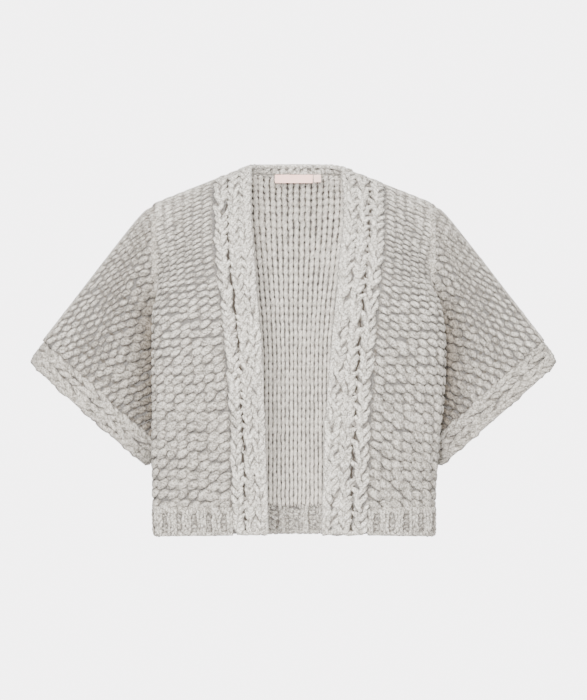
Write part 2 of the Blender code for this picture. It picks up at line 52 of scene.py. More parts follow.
# Shoulder and sleeve ridge
NECK_HALF = 0.0575
SHOULDER_X = 0.2144
SHOULDER_SLOPE = math.tan(math.radians(21.5))
SLEEVE_SLOPE = math.tan(math.radians(52.4))
NECK_SOFT = 0.0015
SHOULDER_SOFT = 0.0054

# Body heights
RIB_TOP = -0.500
FRONT_HEM = -0.539
BACK_HEM = -0.541
BAND_BOTTOM = -0.5335

# Side fold and armhole
ARM_TOP_X = 0.202
UNDERARM_Z = -0.406
ARMHOLE_POWER = 2.4
ARMHOLE_HALF_TOP = 0.044
ARMHOLE_HALF_FOLD = 0.027
FOLD_START_Z = -0.105
FOLD_FULL_Z = -0.225
CHEST_POWER = 2.6
SMOOTH_HALF_WIDTH = 0.300
SMOOTH_FROM_X = 0.125
FOLD_SHARE = 0.76

# Cuff
CUFF_TIP = (0.3825, -0.2875)
CUFF_LOW = (0.2115, -0.4385)
CUFF_HALF_DEPTH = 0.038
CUFF_POWER = 2.2
CUFF_WIDTH = 0.035
SLEEVE_EASE = 3.0
RIDGE_FADE = 3.0
RIDGE_BLEND = 0.010

# Neck trim
NECK_POWER = 2.3
NECK_SEAM_Y = 0.045
NECK_EDGE_Y = 0.038
EDGE_COLUMN = 0.018

BODY_COLUMNS = (
    "height", "right_half", "left_half", "seam_out", "front_depth", "front_edge", "back_depth", "back_edge",
)
BODY_SECTIONS = (
    (-0.545, 0.1990, 0.2020, 0.1975, 0.099, 0.058, 0.100, 0.054),
    (-0.500, 0.2015, 0.2030, 0.1930, 0.101, 0.060, 0.102, 0.055),
    (-0.450, 0.2025, 0.2050, 0.1845, 0.104, 0.062, 0.105, 0.056),
    (-0.400, 0.2025, 0.2095, 0.1820, 0.107, 0.063, 0.107, 0.057),
    (-0.330, 0.2025, 0.2160, 0.1840, 0.110, 0.063, 0.108, 0.057),
    (-0.250, 0.2025, 0.2180, 0.1880, 0.112, 0.062, 0.107, 0.056),
    (-0.180, 0.2020, 0.2100, 0.1965, 0.111, 0.061, 0.103, 0.055),
    (-0.120, 0.2020, 0.2030, 0.2010, 0.109, 0.060, 0.099, 0.054),
    (-0.060, 0.2020, 0.2020, 0.2020, 0.107, 0.060, 0.096, 0.053),
    (0.000, 0.2020, 0.2020, 0.2020, 0.106, 0.060, 0.095, 0.052),
)
BAND_COLUMNS = ("height", "right_inner", "right_outer", "left_inner", "left_outer")
BAND_EDGES = (
    (-0.545, 0.0366, 0.0862, 0.0412, 0.1060),
    (-0.430, 0.0404, 0.0880, 0.0438, 0.1074),
    (-0.350, 0.0432, 0.0910, 0.0482, 0.1097),
    (-0.270, 0.0462, 0.0972, 0.0550, 0.1150),
    (-0.200, 0.0525, 0.1030, 0.0616, 0.1201),
    (-0.130, 0.0582, 0.1125, 0.0688, 0.1280),
    (-0.060, 0.0628, 0.1148, 0.0740, 0.1310),
    (0.000, 0.0620, 0.1150, 0.0700, 0.1310),
)
BAND_GROOVES = (0.0, 0.33, 0.64, 1.0)

FRONT = {"name": "front", "sign": -1.0, "crown_drop": 0.200, "crown_power": 1.6}
BACK = {"name": "back", "sign": 1.0, "crown_drop": 0.118, "crown_power": 2.0}
SIDES = {"right": -1.0, "left": 1.0}

# Gauge: lengths of a stitch across and of a course down
FRONT_STITCH = 0.0150
FRONT_COURSE_TOP = 0.0088
FRONT_COURSE_LOW = 0.0140
GROW_FROM = 0.22
GROW_OVER = 0.50
BACK_STITCH_TOP = 0.0176
BACK_STITCH_LOW = 0.0122
BACK_NARROWS = 0.60
BACK_COURSE = 0.0117
SLEEVE_STITCH = 0.0138
SLEEVE_COURSES = 20
SLEEVE_MATCHED = 9
BAND_COURSE = 0.0112
CUFF_COURSE = 0.0155
RIB_STITCH = 0.0085
RIB_COURSES = 6
TILT_POWER = 2.5
BAND_ROWS_POWER = 1.3
SLEEVE_ROWS_POWER = 1.15
UNDER_CUFF = 1.02

# Grids: points of a run, the step between a panel's points, and limits of reading them
DENSE = 240
SHARES = np.linspace(0.0, 1.0, DENSE)
GRID_STEP = 0.25
LAST_CELL = 1.001
TINY = 1e-12

# Yarn: sides of its tube, how often and how much it swells, and the steps of plain yarns
YARN_SIDES = 6
YARN_WAVER = 16
YARN_SWELL = 0.06
STRAND_STEP = 0.3
STRAND_WAVER = 2

# Unwrapping: a strip's free edge, the step of fibres from yarn to yarn, and the width of a cloth's face
STRIP_EDGE = 0.05
FIBRE_STEP = 0.37
SHEET_HALF = 0.49

# Styles of yarn. Loops narrow by neck stitches and reach up by courses; waves skew. Yarn dips by depth twice
# a stitch and by lean once. side and out are half its width and thickness; belly and taper change its width.
# shift is how unevenly it lies, and lift parts ribs from grooves. facing is 1 with the purl side out, -1 with
# the knit side out. pitch and stitch give its plain width. Yarn that lies deep in the cloth is painted
# darker, as painted shade, and the last setting is how pale it stays against that shade.
LOOP = {"belly": 0.0, "lean": 0.0, "skew": 0.0, "taper": 0.0, "lift": 0.0, "facing": -1.0, "points": 12}
PURL = dict(LOOP, neck=0.0, reach=0.20, depth=0.0, side=0.0038, out=0.0027, shift=0.065, lean=0.0010,
            skew=0.75, taper=0.10, facing=1.0, pitch=0.0100, stitch=0.0150, shade_lift=0.95)
OUTER = dict(PURL, points=8, stitch=0.0140, pitch=0.0108)
INNER = dict(LOOP, neck=0.13, reach=0.82, depth=0.0027, side=0.0031, out=0.0026, belly=0.24, shift=0.030,
             facing=1.0, pitch=0.0115, stitch=0.0150, shade_lift=1.25)
KNIT = dict(LOOP, neck=0.30, reach=1.05, depth=0.0017, side=0.0036, out=0.0026, belly=0.14, shift=0.12,
            pitch=0.0112, stitch=0.0160, shade_lift=1.10)
CUFF = dict(LOOP, neck=0.28, reach=1.05, depth=0.0019, side=0.0044, out=0.0027, belly=0.08, shift=0.10,
            shade_lift=1.10)
TRIM = dict(LOOP, neck=0.20, reach=0.80, depth=0.0024, side=0.0036, out=0.0028, belly=0.25, shift=0.04,
            skew=0.14, pitch=0.0100, stitch=0.0180, shade_lift=0.95, points=16)
RIB = dict(LOOP, neck=0.20, reach=0.95, depth=0.0018, side=0.0025, out=0.0023, shift=0.12, lift=0.0018,
           pitch=0.0058, stitch=0.0085, shade_lift=1.00)

# How a panel's courses lie. hand is how waves slant. At the last course, steady and even are the shares of
# slant and belly that stay, widen and deepen how much larger waves are. wander is how far courses stray, calm
# how many it takes for relief to rise, layer how far yarn lies from the wall's middle, shade how much painted
# shade darkens its colour, and grows whether that painted shade grows down the panel. fold is the side whose
# edge the panel turns in behind, where the yarn takes more painted shade; part_at a groove and hump the raise
# of columns.
# margins hold yarn inside the sides, and inside the first and last course.
PLAIN = {
    "style": PURL, "wool": "outside", "first": 0, "hand": 1.0, "steady": 1.0, "even": 1.0, "widen": 1.0,
    "deepen": 1.0, "wander": 0.22, "calm": 0.0, "layer": 0.0, "shade": 0.0, "grows": False, "fold": None,
    "part_at": None, "hump": 0.0, "wrap": False,
}
# shade in these lays is painted shade on the yarn's colour: it darkens down the fronts, the back and the rib,
# and darkens the cuffs throughout
BODY_LAY = dict(PLAIN, first=-1, calm=2.0)
FRONT_LAY = dict(BODY_LAY, seed=2.0, deepen=2.4, widen=1.3, steady=0.8, shade=0.42, grows=True,
                 margins=((-0.2, 0.0), (0.75, 0.0)))
SLEEVE_LAY = dict(BODY_LAY, seed=8.0, deepen=2.0, widen=1.5, margins=((-0.15, 0.0), (0.6, 0.0)))
BACK_LAY = dict(BODY_LAY, style=INNER, wool="inside", seed=5.0, hand=0.0, even=0.3, wander=0.06,
                layer=-0.0018, shade=0.16, grows=True, margins=((0.05, 0.05), (0.6, 0.0)))
BACK_OUTSIDE = {"style": OUTER, "wool": "outside", "deepen": 2.0, "widen": 1.3, "layer": 0.0018,
                "margins": ((-0.35, 0.05), (0.6, 0.0))}
STRIP_LAY = dict(PLAIN, seed=3.0, margins=((0.0, 0.0), (0.1, 0.25)))
BAND_LAY = dict(STRIP_LAY, style=KNIT, columns=3, calm=2.0, hump=0.0024, part_at=2.0)
CUFF_LAY = dict(STRIP_LAY, style=CUFF, columns=2, shade=0.42, hump=0.0018, part_at=1.0, wrap=True)
TRIM_LAY = dict(STRIP_LAY, style=TRIM, columns=1, calm=2.0, hump=0.0008)
RIB_LAY = dict(PLAIN, style=RIB, seed=4.0, wander=0.35, shade=0.16, margins=((-0.3, 0.05), (-0.2, 0.35)))
RIB_LAYS = {
    "front": dict(RIB_LAY, hem=FRONT_HEM, hem_rise=0.004, rib_turn=0.40, rib_share=0.4, rib_low=-0.5),
    "back": dict(RIB_LAY, hem=BACK_HEM, hem_rise=0.0, rib_turn=0.33, rib_share=0.1, rib_low=-1.0),
}
RIB_STEEP = 4.0

# Plain yarns that finish a panel, those below 0 counted back from its last course
GROOVE_SWAY = 0.09
GROOVE_TURN = 1.9
SEAM_FROM = 5.0
EDGE_COLUMNS = ("along", "at", "side", "out", "wave", "height", "sway")
TOP_YARN = ("course", 0.15, 0.0036, 0.0028, 0.02)
EDGE_YARNS = {
    "front": (TOP_YARN, ("course", 0.65, 0.0034, 0.0026, 0.02)),
    "back": (TOP_YARN,),
    "sleeve": (TOP_YARN, ("course", 0.60, 0.0034, 0.0026, 0.02), ("seam", 0.10, 0.0052, 0.0052, 0.0)),
    "band": (
        ("column", 0.10, 0.0034, 0.0034, 0.01),
        ("course", -0.40, 0.0036, 0.0036, 0.06, 0.0002),
        ("course", 0.15, 0.0034, 0.0028, 0.02),
        ("course", 0.60, 0.0034, 0.0026, 0.02),
        # This thin yarn lies in the groove and is painted in full shade, as the groove's shadow
        ("column", 2.00, 0.0016, 0.0008, 0.0, 0.0008, GROOVE_SWAY),
    ),
    "cuff": (("column", 1.92, 0.0032, 0.0032, 0.01),),
    "trim": (("column", 0.10, 0.0034, 0.0030, 0.01), ("column", 0.88, 0.0034, 0.0030, 0.01)),
    "rib": (("course", -0.30, 0.0030, 0.0032, 0.03),),
}

# How yarn fills wide and tall stitches, and how far it may cross a margin
FULL_POWER = 1.35
TALL_LIMITS = (0.84, 2.0)
WIDE_LIMITS = (0.82, 1.12)
SIDE_GIVE = 0.2
END_GIVE = 0.15

# Unevenness: slow waves (turns across, turns down, phase, height), and the yarn's own looseness
WAVES = ((2.0, 0.9, 1.0, 1.0), (0.8, -1.9, 2.3, 1.0), (4.3, 2.1, -0.7, 0.6))
WAVE_SPAN = 6.0
WAVE_PHASE = 1.7
SHIFT_DOWN = 1.6
LOOSE_HEIGHT = 0.0003
DEEPEN_TOP = 1.4
CALM_RELIEF = 0.35

# Bands and cuffs: rounded columns, the groove between two, and a cuff's tip
HUMP_POWER = 0.6
GROOVE_WIDTH = 0.16
GROOVE_DEPTH = 0.8
GROOVE_PUSH = 0.15
RING_PUSH = 0.07
PUSH_NEAR = 0.08
PUSH_FAR = 0.30
TIP_CALM = 2.5
TIP_KEEPS = 0.5
TIP_RAISE = 0.0020
TIP_ROUND = 0.35
TIP_TURN = 0.06

# The sleeve where it turns in behind the body's edge: painted shade in the fold, the sleeve's own painted
# shade that grows away from the ridge, and bunched stitches
FOLD_REACH = 0.031
FOLD_SHADE_TOP = -0.15
FOLD_SHADE_SPAN = 0.09
SHADE_COURSES = 7.0
SLEEVE_SHADE = {"right": 0.50, "left": 0.44}
BUNCH_STITCHES = 4.5
BUNCH_DEPTH = 0.9
BUNCH_WIDTH = 0.16

# Knitted pieces: flat size, area of what shows, and which rows and columns the cloth keeps
PIECE_COLUMNS = ("slot", "seed", "cut", "area", "every")
PIECES = {
    "front": ("yarn", 10, (0.20, 0.52), 0.085, (4, 4)),
    "sleeve_front": ("yarn", 20, (0.30, 0.30), 0.042, (4, 4)),
    "sleeve_back": ("yarn", 20, (0.30, 0.30), 0.042, (4, 4)),
    "front_band": ("band_yarn", 30, (0.07, 0.56), 0.03, (2, 1)),
    "cuff": ("band_yarn", 40, (0.035, 0.50), 0.0175, (1, 1)),
    "hem_rib_front": ("band_yarn", 50, (0.20, 0.035), 0.006, (4, 4)),
    "back": ("yarn", 60, (0.52, 0.52), 0.26, (4, 4)),
    "neck_band": ("band_yarn", 70, (0.018, 0.20), 0.0035, (2, 1)),
    "hem_rib_back": ("band_yarn", 80, (0.52, 0.041), 0.02, (4, 4)),
}

# Wool: colours, with painted shade for deep yarn and the sleeve's fold and a paler painted-light copy for the
# back's inside, and the noises that lie along the yarn or in the cloth (scale, detail)
LIGHT_WOOL = (0.72, 0.687, 0.626, 1.0)
MID_WOOL = (0.325, 0.306, 0.272, 1.0)
# Wool of the back's inside: paler and warmer than the outside's wool, partly the inside's own warmer look and
# partly painted light that makes up for the light the inside gets less of; it also has fewer dark flecks
BACK_PAINTED_LIGHT = (0.97, 0.92, 0.85, 1.0)
BACK_PAINTED_LIGHT_MID = (0.64, 0.60, 0.54, 1.0)
DARK_FIBRE = (0.09, 0.083, 0.074, 1.0)
PALE_HAIR = (0.86, 0.85, 0.83, 1.0)
# Painted shade: the dark colour that yarn turns towards where it lies deep in the cloth, standing for the
# shadow between stitches
PAINTED_RECESS_SHADE = (0.108, 0.094, 0.08, 1.0)
# Painted shade: the dark warm colour that the panels' shade and the sleeve's fold multiply the yarn towards
FOLD_PAINTED_SHADE = (0.29, 0.26, 0.23, 1.0)
# Span of depth over which the yarn turns to that painted recess shade
RECESS_SHADE_SPREAD = (0.08, 0.62)
FLECK = 0.60
BACK_FLECK = 0.22
NOISES = {
    "fibres": ("along", 3.2, 4.0), "strands": ("along", 1.1, 2.0), "patches": ("cloth", 16.0, 3.0),
    "hairs": ("cloth", 900.0, 2.0), "flecks": ("cloth", 430.0, 2.0),
}
TWISTS = 26.0
FIBRE_STRETCH = 90.0
BLEND = (0.38, 0.62)
FIBRE_BUMP = 0.6
HAIR_BUMP = 0.35

# Painted shade: the cloth deep between the stitches, coloured dark to stand for the shadow there
GAP_SHADE_DARK = (0.10, 0.095, 0.09, 1.0)
GAP_SHADE_PALE = (0.20, 0.19, 0.18, 1.0)
GAP_SHADE_SCALE = 420.0
GAP_SHADE_BLEND = (0.35, 0.65)

# Ribbons of the label and the size tab: material, light and dark colour
RIBBONS = {
    "neck_label": ("label_ribbon", (1.0, 0.66, 0.58, 1.0), (0.95, 0.52, 0.45, 1.0)),
    "size_tab": ("tab_ribbon", (0.92, 0.66, 0.59, 1.0), (0.78, 0.52, 0.46, 1.0)),
}
THREADS = {"X": 520.0, "Z": 640.0}
WEAVE_SHARE = 0.5
CLOUD_SCALE = 60.0
CLOUD_SHARE = 0.25

# Camera, floor, paper and light
VIEW_DISTANCE = 6.0
VIEW_HEIGHT = -0.2712
VIEW_SPAN = 1.015
SENSOR = 36.0
FLOOR_Z = -1.15
FLOOR_SCALE = 3.0
FLOOR_COLOURS = ((0.86, 0.85, 0.85, 1.0), (0.88, 0.87, 0.87, 1.0))
PAPER = (1.0, 0.975, 0.99, 1.0)
PAPER_STRENGTH = 5.4
AMBIENT = 0.32
WARM = (1.0, 0.98, 0.94)
LIGHTS = (
    # name, place, size, energy, colour
    ("front", (-0.25, -4.1, 0.9), 1.0, 385.0, WARM),
    ("left", (-2.9, -3.0, 1.5), 1.0, 100.0, WARM),
    ("right", (2.9, -3.0, 1.2), 1.0, 75.0, WARM),
    ("above", (-0.2, -1.6, 3.2), 1.0, 150.0, (1.0, 0.99, 0.97)),
    ("behind", (0.8, 4.0, 2.0), 1.6, 240.0, (1.0, 0.98, 0.95)),
)


def ease(share):
    """A smooth step from 0 to 1."""
    share = np.clip(share, 0.0, 1.0)
    return share * share * (3.0 - 2.0 * share)


def mix(first, second, share):
    """The value at a share of the way from the first to the second."""
    return first + (second - first) * share


def soft_min(first, second, softness):
    """The smaller of two values, rounded off where they meet."""
    half = 0.5 * (first - second)
    return 0.5 * (first + second) - np.sqrt(half * half + softness * softness)


def read_table(columns, rows, name, height):
    """A smooth curve through one named column of a table, read at any height."""
    grid = np.array(rows)
    x = grid[:, 0]
    y = grid[:, columns.index(name)]
    slope = np.gradient(y, x)
    height = np.clip(height, x[0], x[-1])
    low = np.clip(np.searchsorted(x, height) - 1, 0, len(x) - 2)
    span = x[low + 1] - x[low]
    t = (height - x[low]) / span
    start = y[low] * (1 + 2 * t) * (1 - t) ** 2 + slope[low] * span * t * (1 - t) ** 2
    end = y[low + 1] * t * t * (3 - 2 * t) + slope[low + 1] * span * t * t * (t - 1)
    return start + end


def body(name, height):
    """One size of the body at a height."""
    return read_table(BODY_COLUMNS, BODY_SECTIONS, name, height)


def band_edge(side, which, height):
    """Distance out of a band's inner or outer edge at a height."""
    return read_table(BAND_COLUMNS, BAND_EDGES, side + "_" + which, height)


def ridge(x):
    """Height of the shoulder and sleeve ridge at a distance from the middle."""
    shoulder = -SHOULDER_SLOPE * (x - NECK_HALF)
    sleeve = -SHOULDER_SLOPE * (SHOULDER_X - NECK_HALF) - SLEEVE_SLOPE * (x - SHOULDER_X)
    return soft_min(soft_min(0.0, shoulder, NECK_SOFT), sleeve, SHOULDER_SOFT)


def oval(turn, power):
    """A half oval: how far down it is, 0 to 1, and how deep, 0 to 1 to 0, at each turn from 0 to 1."""
    c = np.cos(math.pi * turn)
    s = np.clip(np.sin(math.pi * turn), 0.0, 1.0)
    return 0.5 * (1.0 - np.sign(c) * np.abs(c) ** (2.0 / power)), s ** (2.0 / power)


def oval_turn(down, power):
    """The turn at which a half oval is that far down."""
    level = 1.0 - 2.0 * np.clip(down, 0.0, 1.0)
    return np.arccos(np.sign(level) * np.abs(level) ** (power / 2.0)) / math.pi


def crown(drop, face):
    """Share of the full depth that is reached at a drop below the ridge."""
    share = np.clip(drop / face["crown_drop"], 0.0, 1.0)
    power = face["crown_power"]
    return (1.0 - (1.0 - share) ** power) ** (1.0 / power)


ARM_TOP_Z = float(ridge(ARM_TOP_X))


def fold_weight(height):
    """How far the side is rolled in behind the edge of the front or back, 0 to 1."""
    return ease((FOLD_START_Z - height) / (FOLD_START_Z - FOLD_FULL_Z))


def arm_seam(height):
    """Distance out and depth of the line where the side fold ends and the sleeve or side begins."""
    share = np.clip((ARM_TOP_Z - height) / (ARM_TOP_Z - UNDERARM_Z), 0.0, 1.0)
    round_off = (1.0 - np.abs(1.0 - 2.0 * share) ** ARMHOLE_POWER) ** (1.0 / ARMHOLE_POWER)
    depth = mix(ARMHOLE_HALF_TOP, ARMHOLE_HALF_FOLD, fold_weight(height)) * round_off
    return body("seam_out", height), depth


def section(side, face, start, share, height):
    """Distance out and depth of the body wall at a share of the way from start to the side."""
    seam_x, seam_depth = arm_seam(height)
    half = body(side + "_half", height)
    edge = body(face["name"] + "_edge", height)
    belly = body(face["name"] + "_depth", height) - edge

    flat_x = mix(start, seam_x, share)
    flat = edge + belly * (1.0 - (flat_x / SMOOTH_HALF_WIDTH) ** CHEST_POWER) ** (1.0 / CHEST_POWER)
    flat = flat * crown(ridge(flat_x) - height, face)
    toward = ease((flat_x - SMOOTH_FROM_X) / (seam_x - SMOOTH_FROM_X))
    _, level_depth = arm_seam(height - ridge(flat_x) + ridge(seam_x))
    flat = mix(flat, level_depth, toward)

    first = np.arcsin(np.clip(start / half, 0.0, 1.0) ** (CHEST_POWER / 2.0))
    angle = mix(first, math.pi / 2, np.clip(share / FOLD_SHARE, 0.0, 1.0))
    round_x = half * np.sin(angle) ** (2.0 / CHEST_POWER)
    swell = np.clip(np.cos(angle), 0.0, 1.0) ** (2.0 / CHEST_POWER)
    round_y = (edge + belly * swell) * crown(ridge(round_x) - height, face)
    inward = np.clip((share - FOLD_SHARE) / (1.0 - FOLD_SHARE), 0.0, 1.0)
    round_x = round_x - (half - seam_x) * 0.5 * (1.0 - np.cos(math.pi * inward))
    round_y = mix(round_y, seam_depth, inward)

    weight = fold_weight(height)
    return mix(flat_x, round_x, weight), mix(flat, round_y, weight)


def place(side, face, x, depth, height):
    """World points from distances out, depths and heights."""
    x, depth, height = np.broadcast_arrays(x, depth, height)
    return np.stack((SIDES[side] * x, face["sign"] * depth, height), axis=-1)


def neck_oval(turn):
    """How far out and how far back the neck's oval is, 0 to 1 each, turn 0 at the middle of the back."""
    out = np.sin(0.5 * math.pi * turn) ** (2.0 / NECK_POWER)
    return out, np.clip(np.cos(0.5 * math.pi * turn), 0.0, 1.0) ** (2.0 / NECK_POWER)


def neck_seam(side, turn):
    """Distance out and depth of the seam between the neck trim and the back."""
    out, back = neck_oval(turn)
    return out * (band_edge(side, "inner", 0.0) + EDGE_COLUMN), NECK_SEAM_Y * back


def neck_edge(side, turn):
    """Distance out, depth and height of the neck trim's free edge."""
    out, back = neck_oval(turn)
    x = out * band_edge(side, "inner", 0.0)
    return x, NECK_EDGE_Y * back, ridge(x)


def back_top(side, x, depth):
    """Height of the back's crown at a distance out and a depth."""
    drops = np.linspace(0.0, 1.0, DENSE) ** 2 * BACK["crown_drop"]
    heights = np.zeros_like(x)
    for i, (out, deep) in enumerate(zip(x, depth)):
        levels = ridge(out) - drops
        seam_x, _ = arm_seam(levels)
        _, reached = section(side, BACK, 0.0, out / seam_x, levels)
        heights[i] = np.interp(deep, reached, levels)
    return heights


def cuff_point(turn, up):
    """Distance out, depth and height on the cuff's tube, at a distance up the arm from its edge."""
    across, deep = oval(turn, CUFF_POWER)
    arm_x = math.cos(math.atan(SLEEVE_SLOPE))
    arm_z = -math.sin(math.atan(SLEEVE_SLOPE))
    x = mix(CUFF_TIP[0], CUFF_LOW[0], across) - arm_x * up
    z = mix(CUFF_TIP[1], CUFF_LOW[1], across) - arm_z * up
    return x, CUFF_HALF_DEPTH * deep, z


def sleeve_point(side, face, turn, share):
    """Outer points of half a sleeve at turns round it and shares out from the armhole to the cuff."""
    down, _ = oval(turn, ARMHOLE_POWER)
    start_z = mix(ARM_TOP_Z, UNDERARM_Z, down)
    start_x, start_depth = arm_seam(start_z)
    end_x, end_depth, end_z = cuff_point(turn, CUFF_WIDTH)
    x = mix(start_x, end_x, share)
    chord = mix(start_z, end_z, share)
    tip_x, _, tip_z = cuff_point(0.0, CUFF_WIDTH)
    ridge_chord = mix(ARM_TOP_Z, tip_z, (x - ARM_TOP_X) / (tip_x - ARM_TOP_X))
    bow = (ridge(x) - ridge_chord) * np.clip(1.0 - down, 0.0, 1.0) ** RIDGE_FADE
    bow = bow * np.clip((x - ARM_TOP_X) / RIDGE_BLEND, 0.0, 1.0)
    depth = mix(start_depth, end_depth, 1.0 - np.clip(1.0 - share, 0.0, 1.0) ** SLEEVE_EASE)
    return place(side, face, x, depth, chord + bow)


def run_length(points, axis=0):
    """Distance along a run of points from its first."""
    steps = np.linalg.norm(np.diff(points, axis=axis), axis=-1)
    shape = list(steps.shape)
    shape[axis] = 1
    return np.concatenate((np.zeros(shape), np.cumsum(steps, axis=axis)), axis=axis)


def surface(points, outward, thickness, wrap=False):
    """A panel's grid moved in to the middle of its wall, with its normals."""
    down = np.gradient(points, axis=0)
    across = np.gradient(points, axis=1)
    if wrap:
        down = 0.5 * (np.roll(points, -1, axis=0) - np.roll(points, 1, axis=0))
    cross = np.cross(down, across)
    length = np.linalg.norm(cross, axis=-1, keepdims=True)
    cross = cross / np.maximum(length, TINY)
    middle = cross[cross.shape[0] // 2, cross.shape[1] // 2]
    if np.dot(middle, outward) < 0:
        cross = -cross
    return points - 0.5 * thickness * cross, cross


def read_run(steps, at, points):
    """Points read at steps along a run, each of whose points is at a known place."""
    return np.stack([np.interp(steps, at, axis) for axis in points.T], axis=-1)


def even_stitches(points, normals, length_at, from_end=False):
    """The same surface with its columns at even stitch counts, and how many stitches each course has."""
    if from_end:
        points = points[:, ::-1]
        normals = normals[:, ::-1]
    count = run_length(points, axis=1) / length_at
    ends = count[:, -1]
    steps = np.arange(0.0, ends.max() + GRID_STEP, GRID_STEP)
    moved, turned = (
        np.stack([read_run(steps, at, row) for at, row in zip(count, grid)]) for grid in (points, normals)
    )
    return moved, turned, ends


def read_grid(grid, u, v, wrap=False):
    """Points read between the points of a grid, at stitch u and course v."""
    rows, cols = grid.shape[:2]
    across = np.clip(u / GRID_STEP, 0.0, cols - LAST_CELL)
    down = v / GRID_STEP
    if not wrap:
        down = np.clip(down, 0.0, rows - LAST_CELL)
    left = np.floor(across).astype(int)
    top = np.floor(down).astype(int)
    part_across = (across - left)[:, None]
    part_down = (down - top)[:, None]
    low = top + 1
    if wrap:
        top = top % rows
        low = low % rows
    upper = mix(grid[top, left], grid[top, left + 1], part_across)
    lower = mix(grid[low, left], grid[low, left + 1], part_across)
    return mix(upper, lower, part_down)


def hold_back(value, low, high, give):
    """Values kept between two limits, with a little give past each."""
    value = np.where(value < low, low + (value - low) * give, value)
    return np.where(value > high, high + (value - high) * give, value)


def drift(count, spacing, rng):
    """A slow random wander along a run of points, about -1 to 1."""
    knots = rng.standard_normal(count // spacing + 3)
    return np.interp(np.arange(count) / spacing, np.arange(len(knots)), knots)


def last_course(panel):
    """Place of a panel's last row, in courses."""
    return (len(panel["points"]) - 1) * GRID_STEP


def width_at(panel, v):
    """How many stitches wide a panel is at a course."""
    return np.interp(v, np.arange(len(panel["points"])) * GRID_STEP, panel["ends"])


def fullness(panel, u, v):
    """How much thicker the yarn lies where stitches are wider or courses further apart."""
    if panel["wrap"]:
        return np.ones(len(u))
    style = panel["style"]
    points = panel["points"]
    middle = np.clip(v, 0.5, last_course(panel) - 0.5)
    gap = read_grid(points, u, middle + 0.5) - read_grid(points, u, middle - 0.5)
    taller = np.clip((np.linalg.norm(gap, axis=1) / style["pitch"]) ** FULL_POWER, *TALL_LIMITS)
    inner = np.clip(u, 0.5, np.maximum(width_at(panel, v) - 0.5, 0.5))
    span = read_grid(points, inner + 0.5, v) - read_grid(points, inner - 0.5, v)
    return taller * np.clip(np.linalg.norm(span, axis=1) / style["stitch"], *WIDE_LIMITS)


def unevenness(u, v, seed):
    """A slow wave in how the courses lie, about -1 to 1."""
    total = 0.0
    for across, down, phase, height in WAVES:
        turn = across * u / WAVE_SPAN + down * v / WAVE_SPAN + phase * WAVE_PHASE * seed
        total = total + height * np.sin(turn)
    return total / sum(wave[-1] for wave in WAVES)


def on_cloth(panel, u, v, depth):
    """World points and normals at a stitch, a course and a depth of a panel."""
    out = read_grid(panel["normals"], u, v, panel["wrap"])
    out /= np.linalg.norm(out, axis=1, keepdims=True)
    return read_grid(panel["points"], u, v, panel["wrap"]) + depth[:, None] * out, out


def relief(panel, u):
    """Raise of a strip's rounded columns, lowest between them and lowest of all in its groove."""
    rounded = panel["hump"] * np.abs(np.sin(math.pi * u)) ** HUMP_POWER - 0.5 * panel["hump"]
    if panel["part_at"] is None:
        return rounded
    groove = np.exp(-((u - panel["part_at"]) / GROOVE_WIDTH) ** 2)
    return rounded - GROOVE_DEPTH * panel["hump"] * groove


def open_groove(panel, u, v, away):
    """How far the yarn is pushed to each side of a strip's groove, in stitches."""
    push = RING_PUSH if panel["wrap"] else GROOVE_PUSH
    past = u - (panel["part_at"] + GROOVE_SWAY * np.sin(GROOVE_TURN * v))
    return push * away * np.tanh(past / PUSH_NEAR) * np.exp(-(past / PUSH_FAR) ** 2)


def in_fold(side, path):
    """How deep points of a sleeve lie in the fold behind the body's edge, 0 to 1: the share of painted fold
    shade they take.
    """
    past_edge = np.abs(path[:, 0]) - body(side + "_half", path[:, 2])
    near = np.exp(-(np.maximum(past_edge, 0.0) / FOLD_REACH) ** 2)
    return near * ease((FOLD_SHADE_TOP - path[:, 2]) / FOLD_SHADE_SPAN)


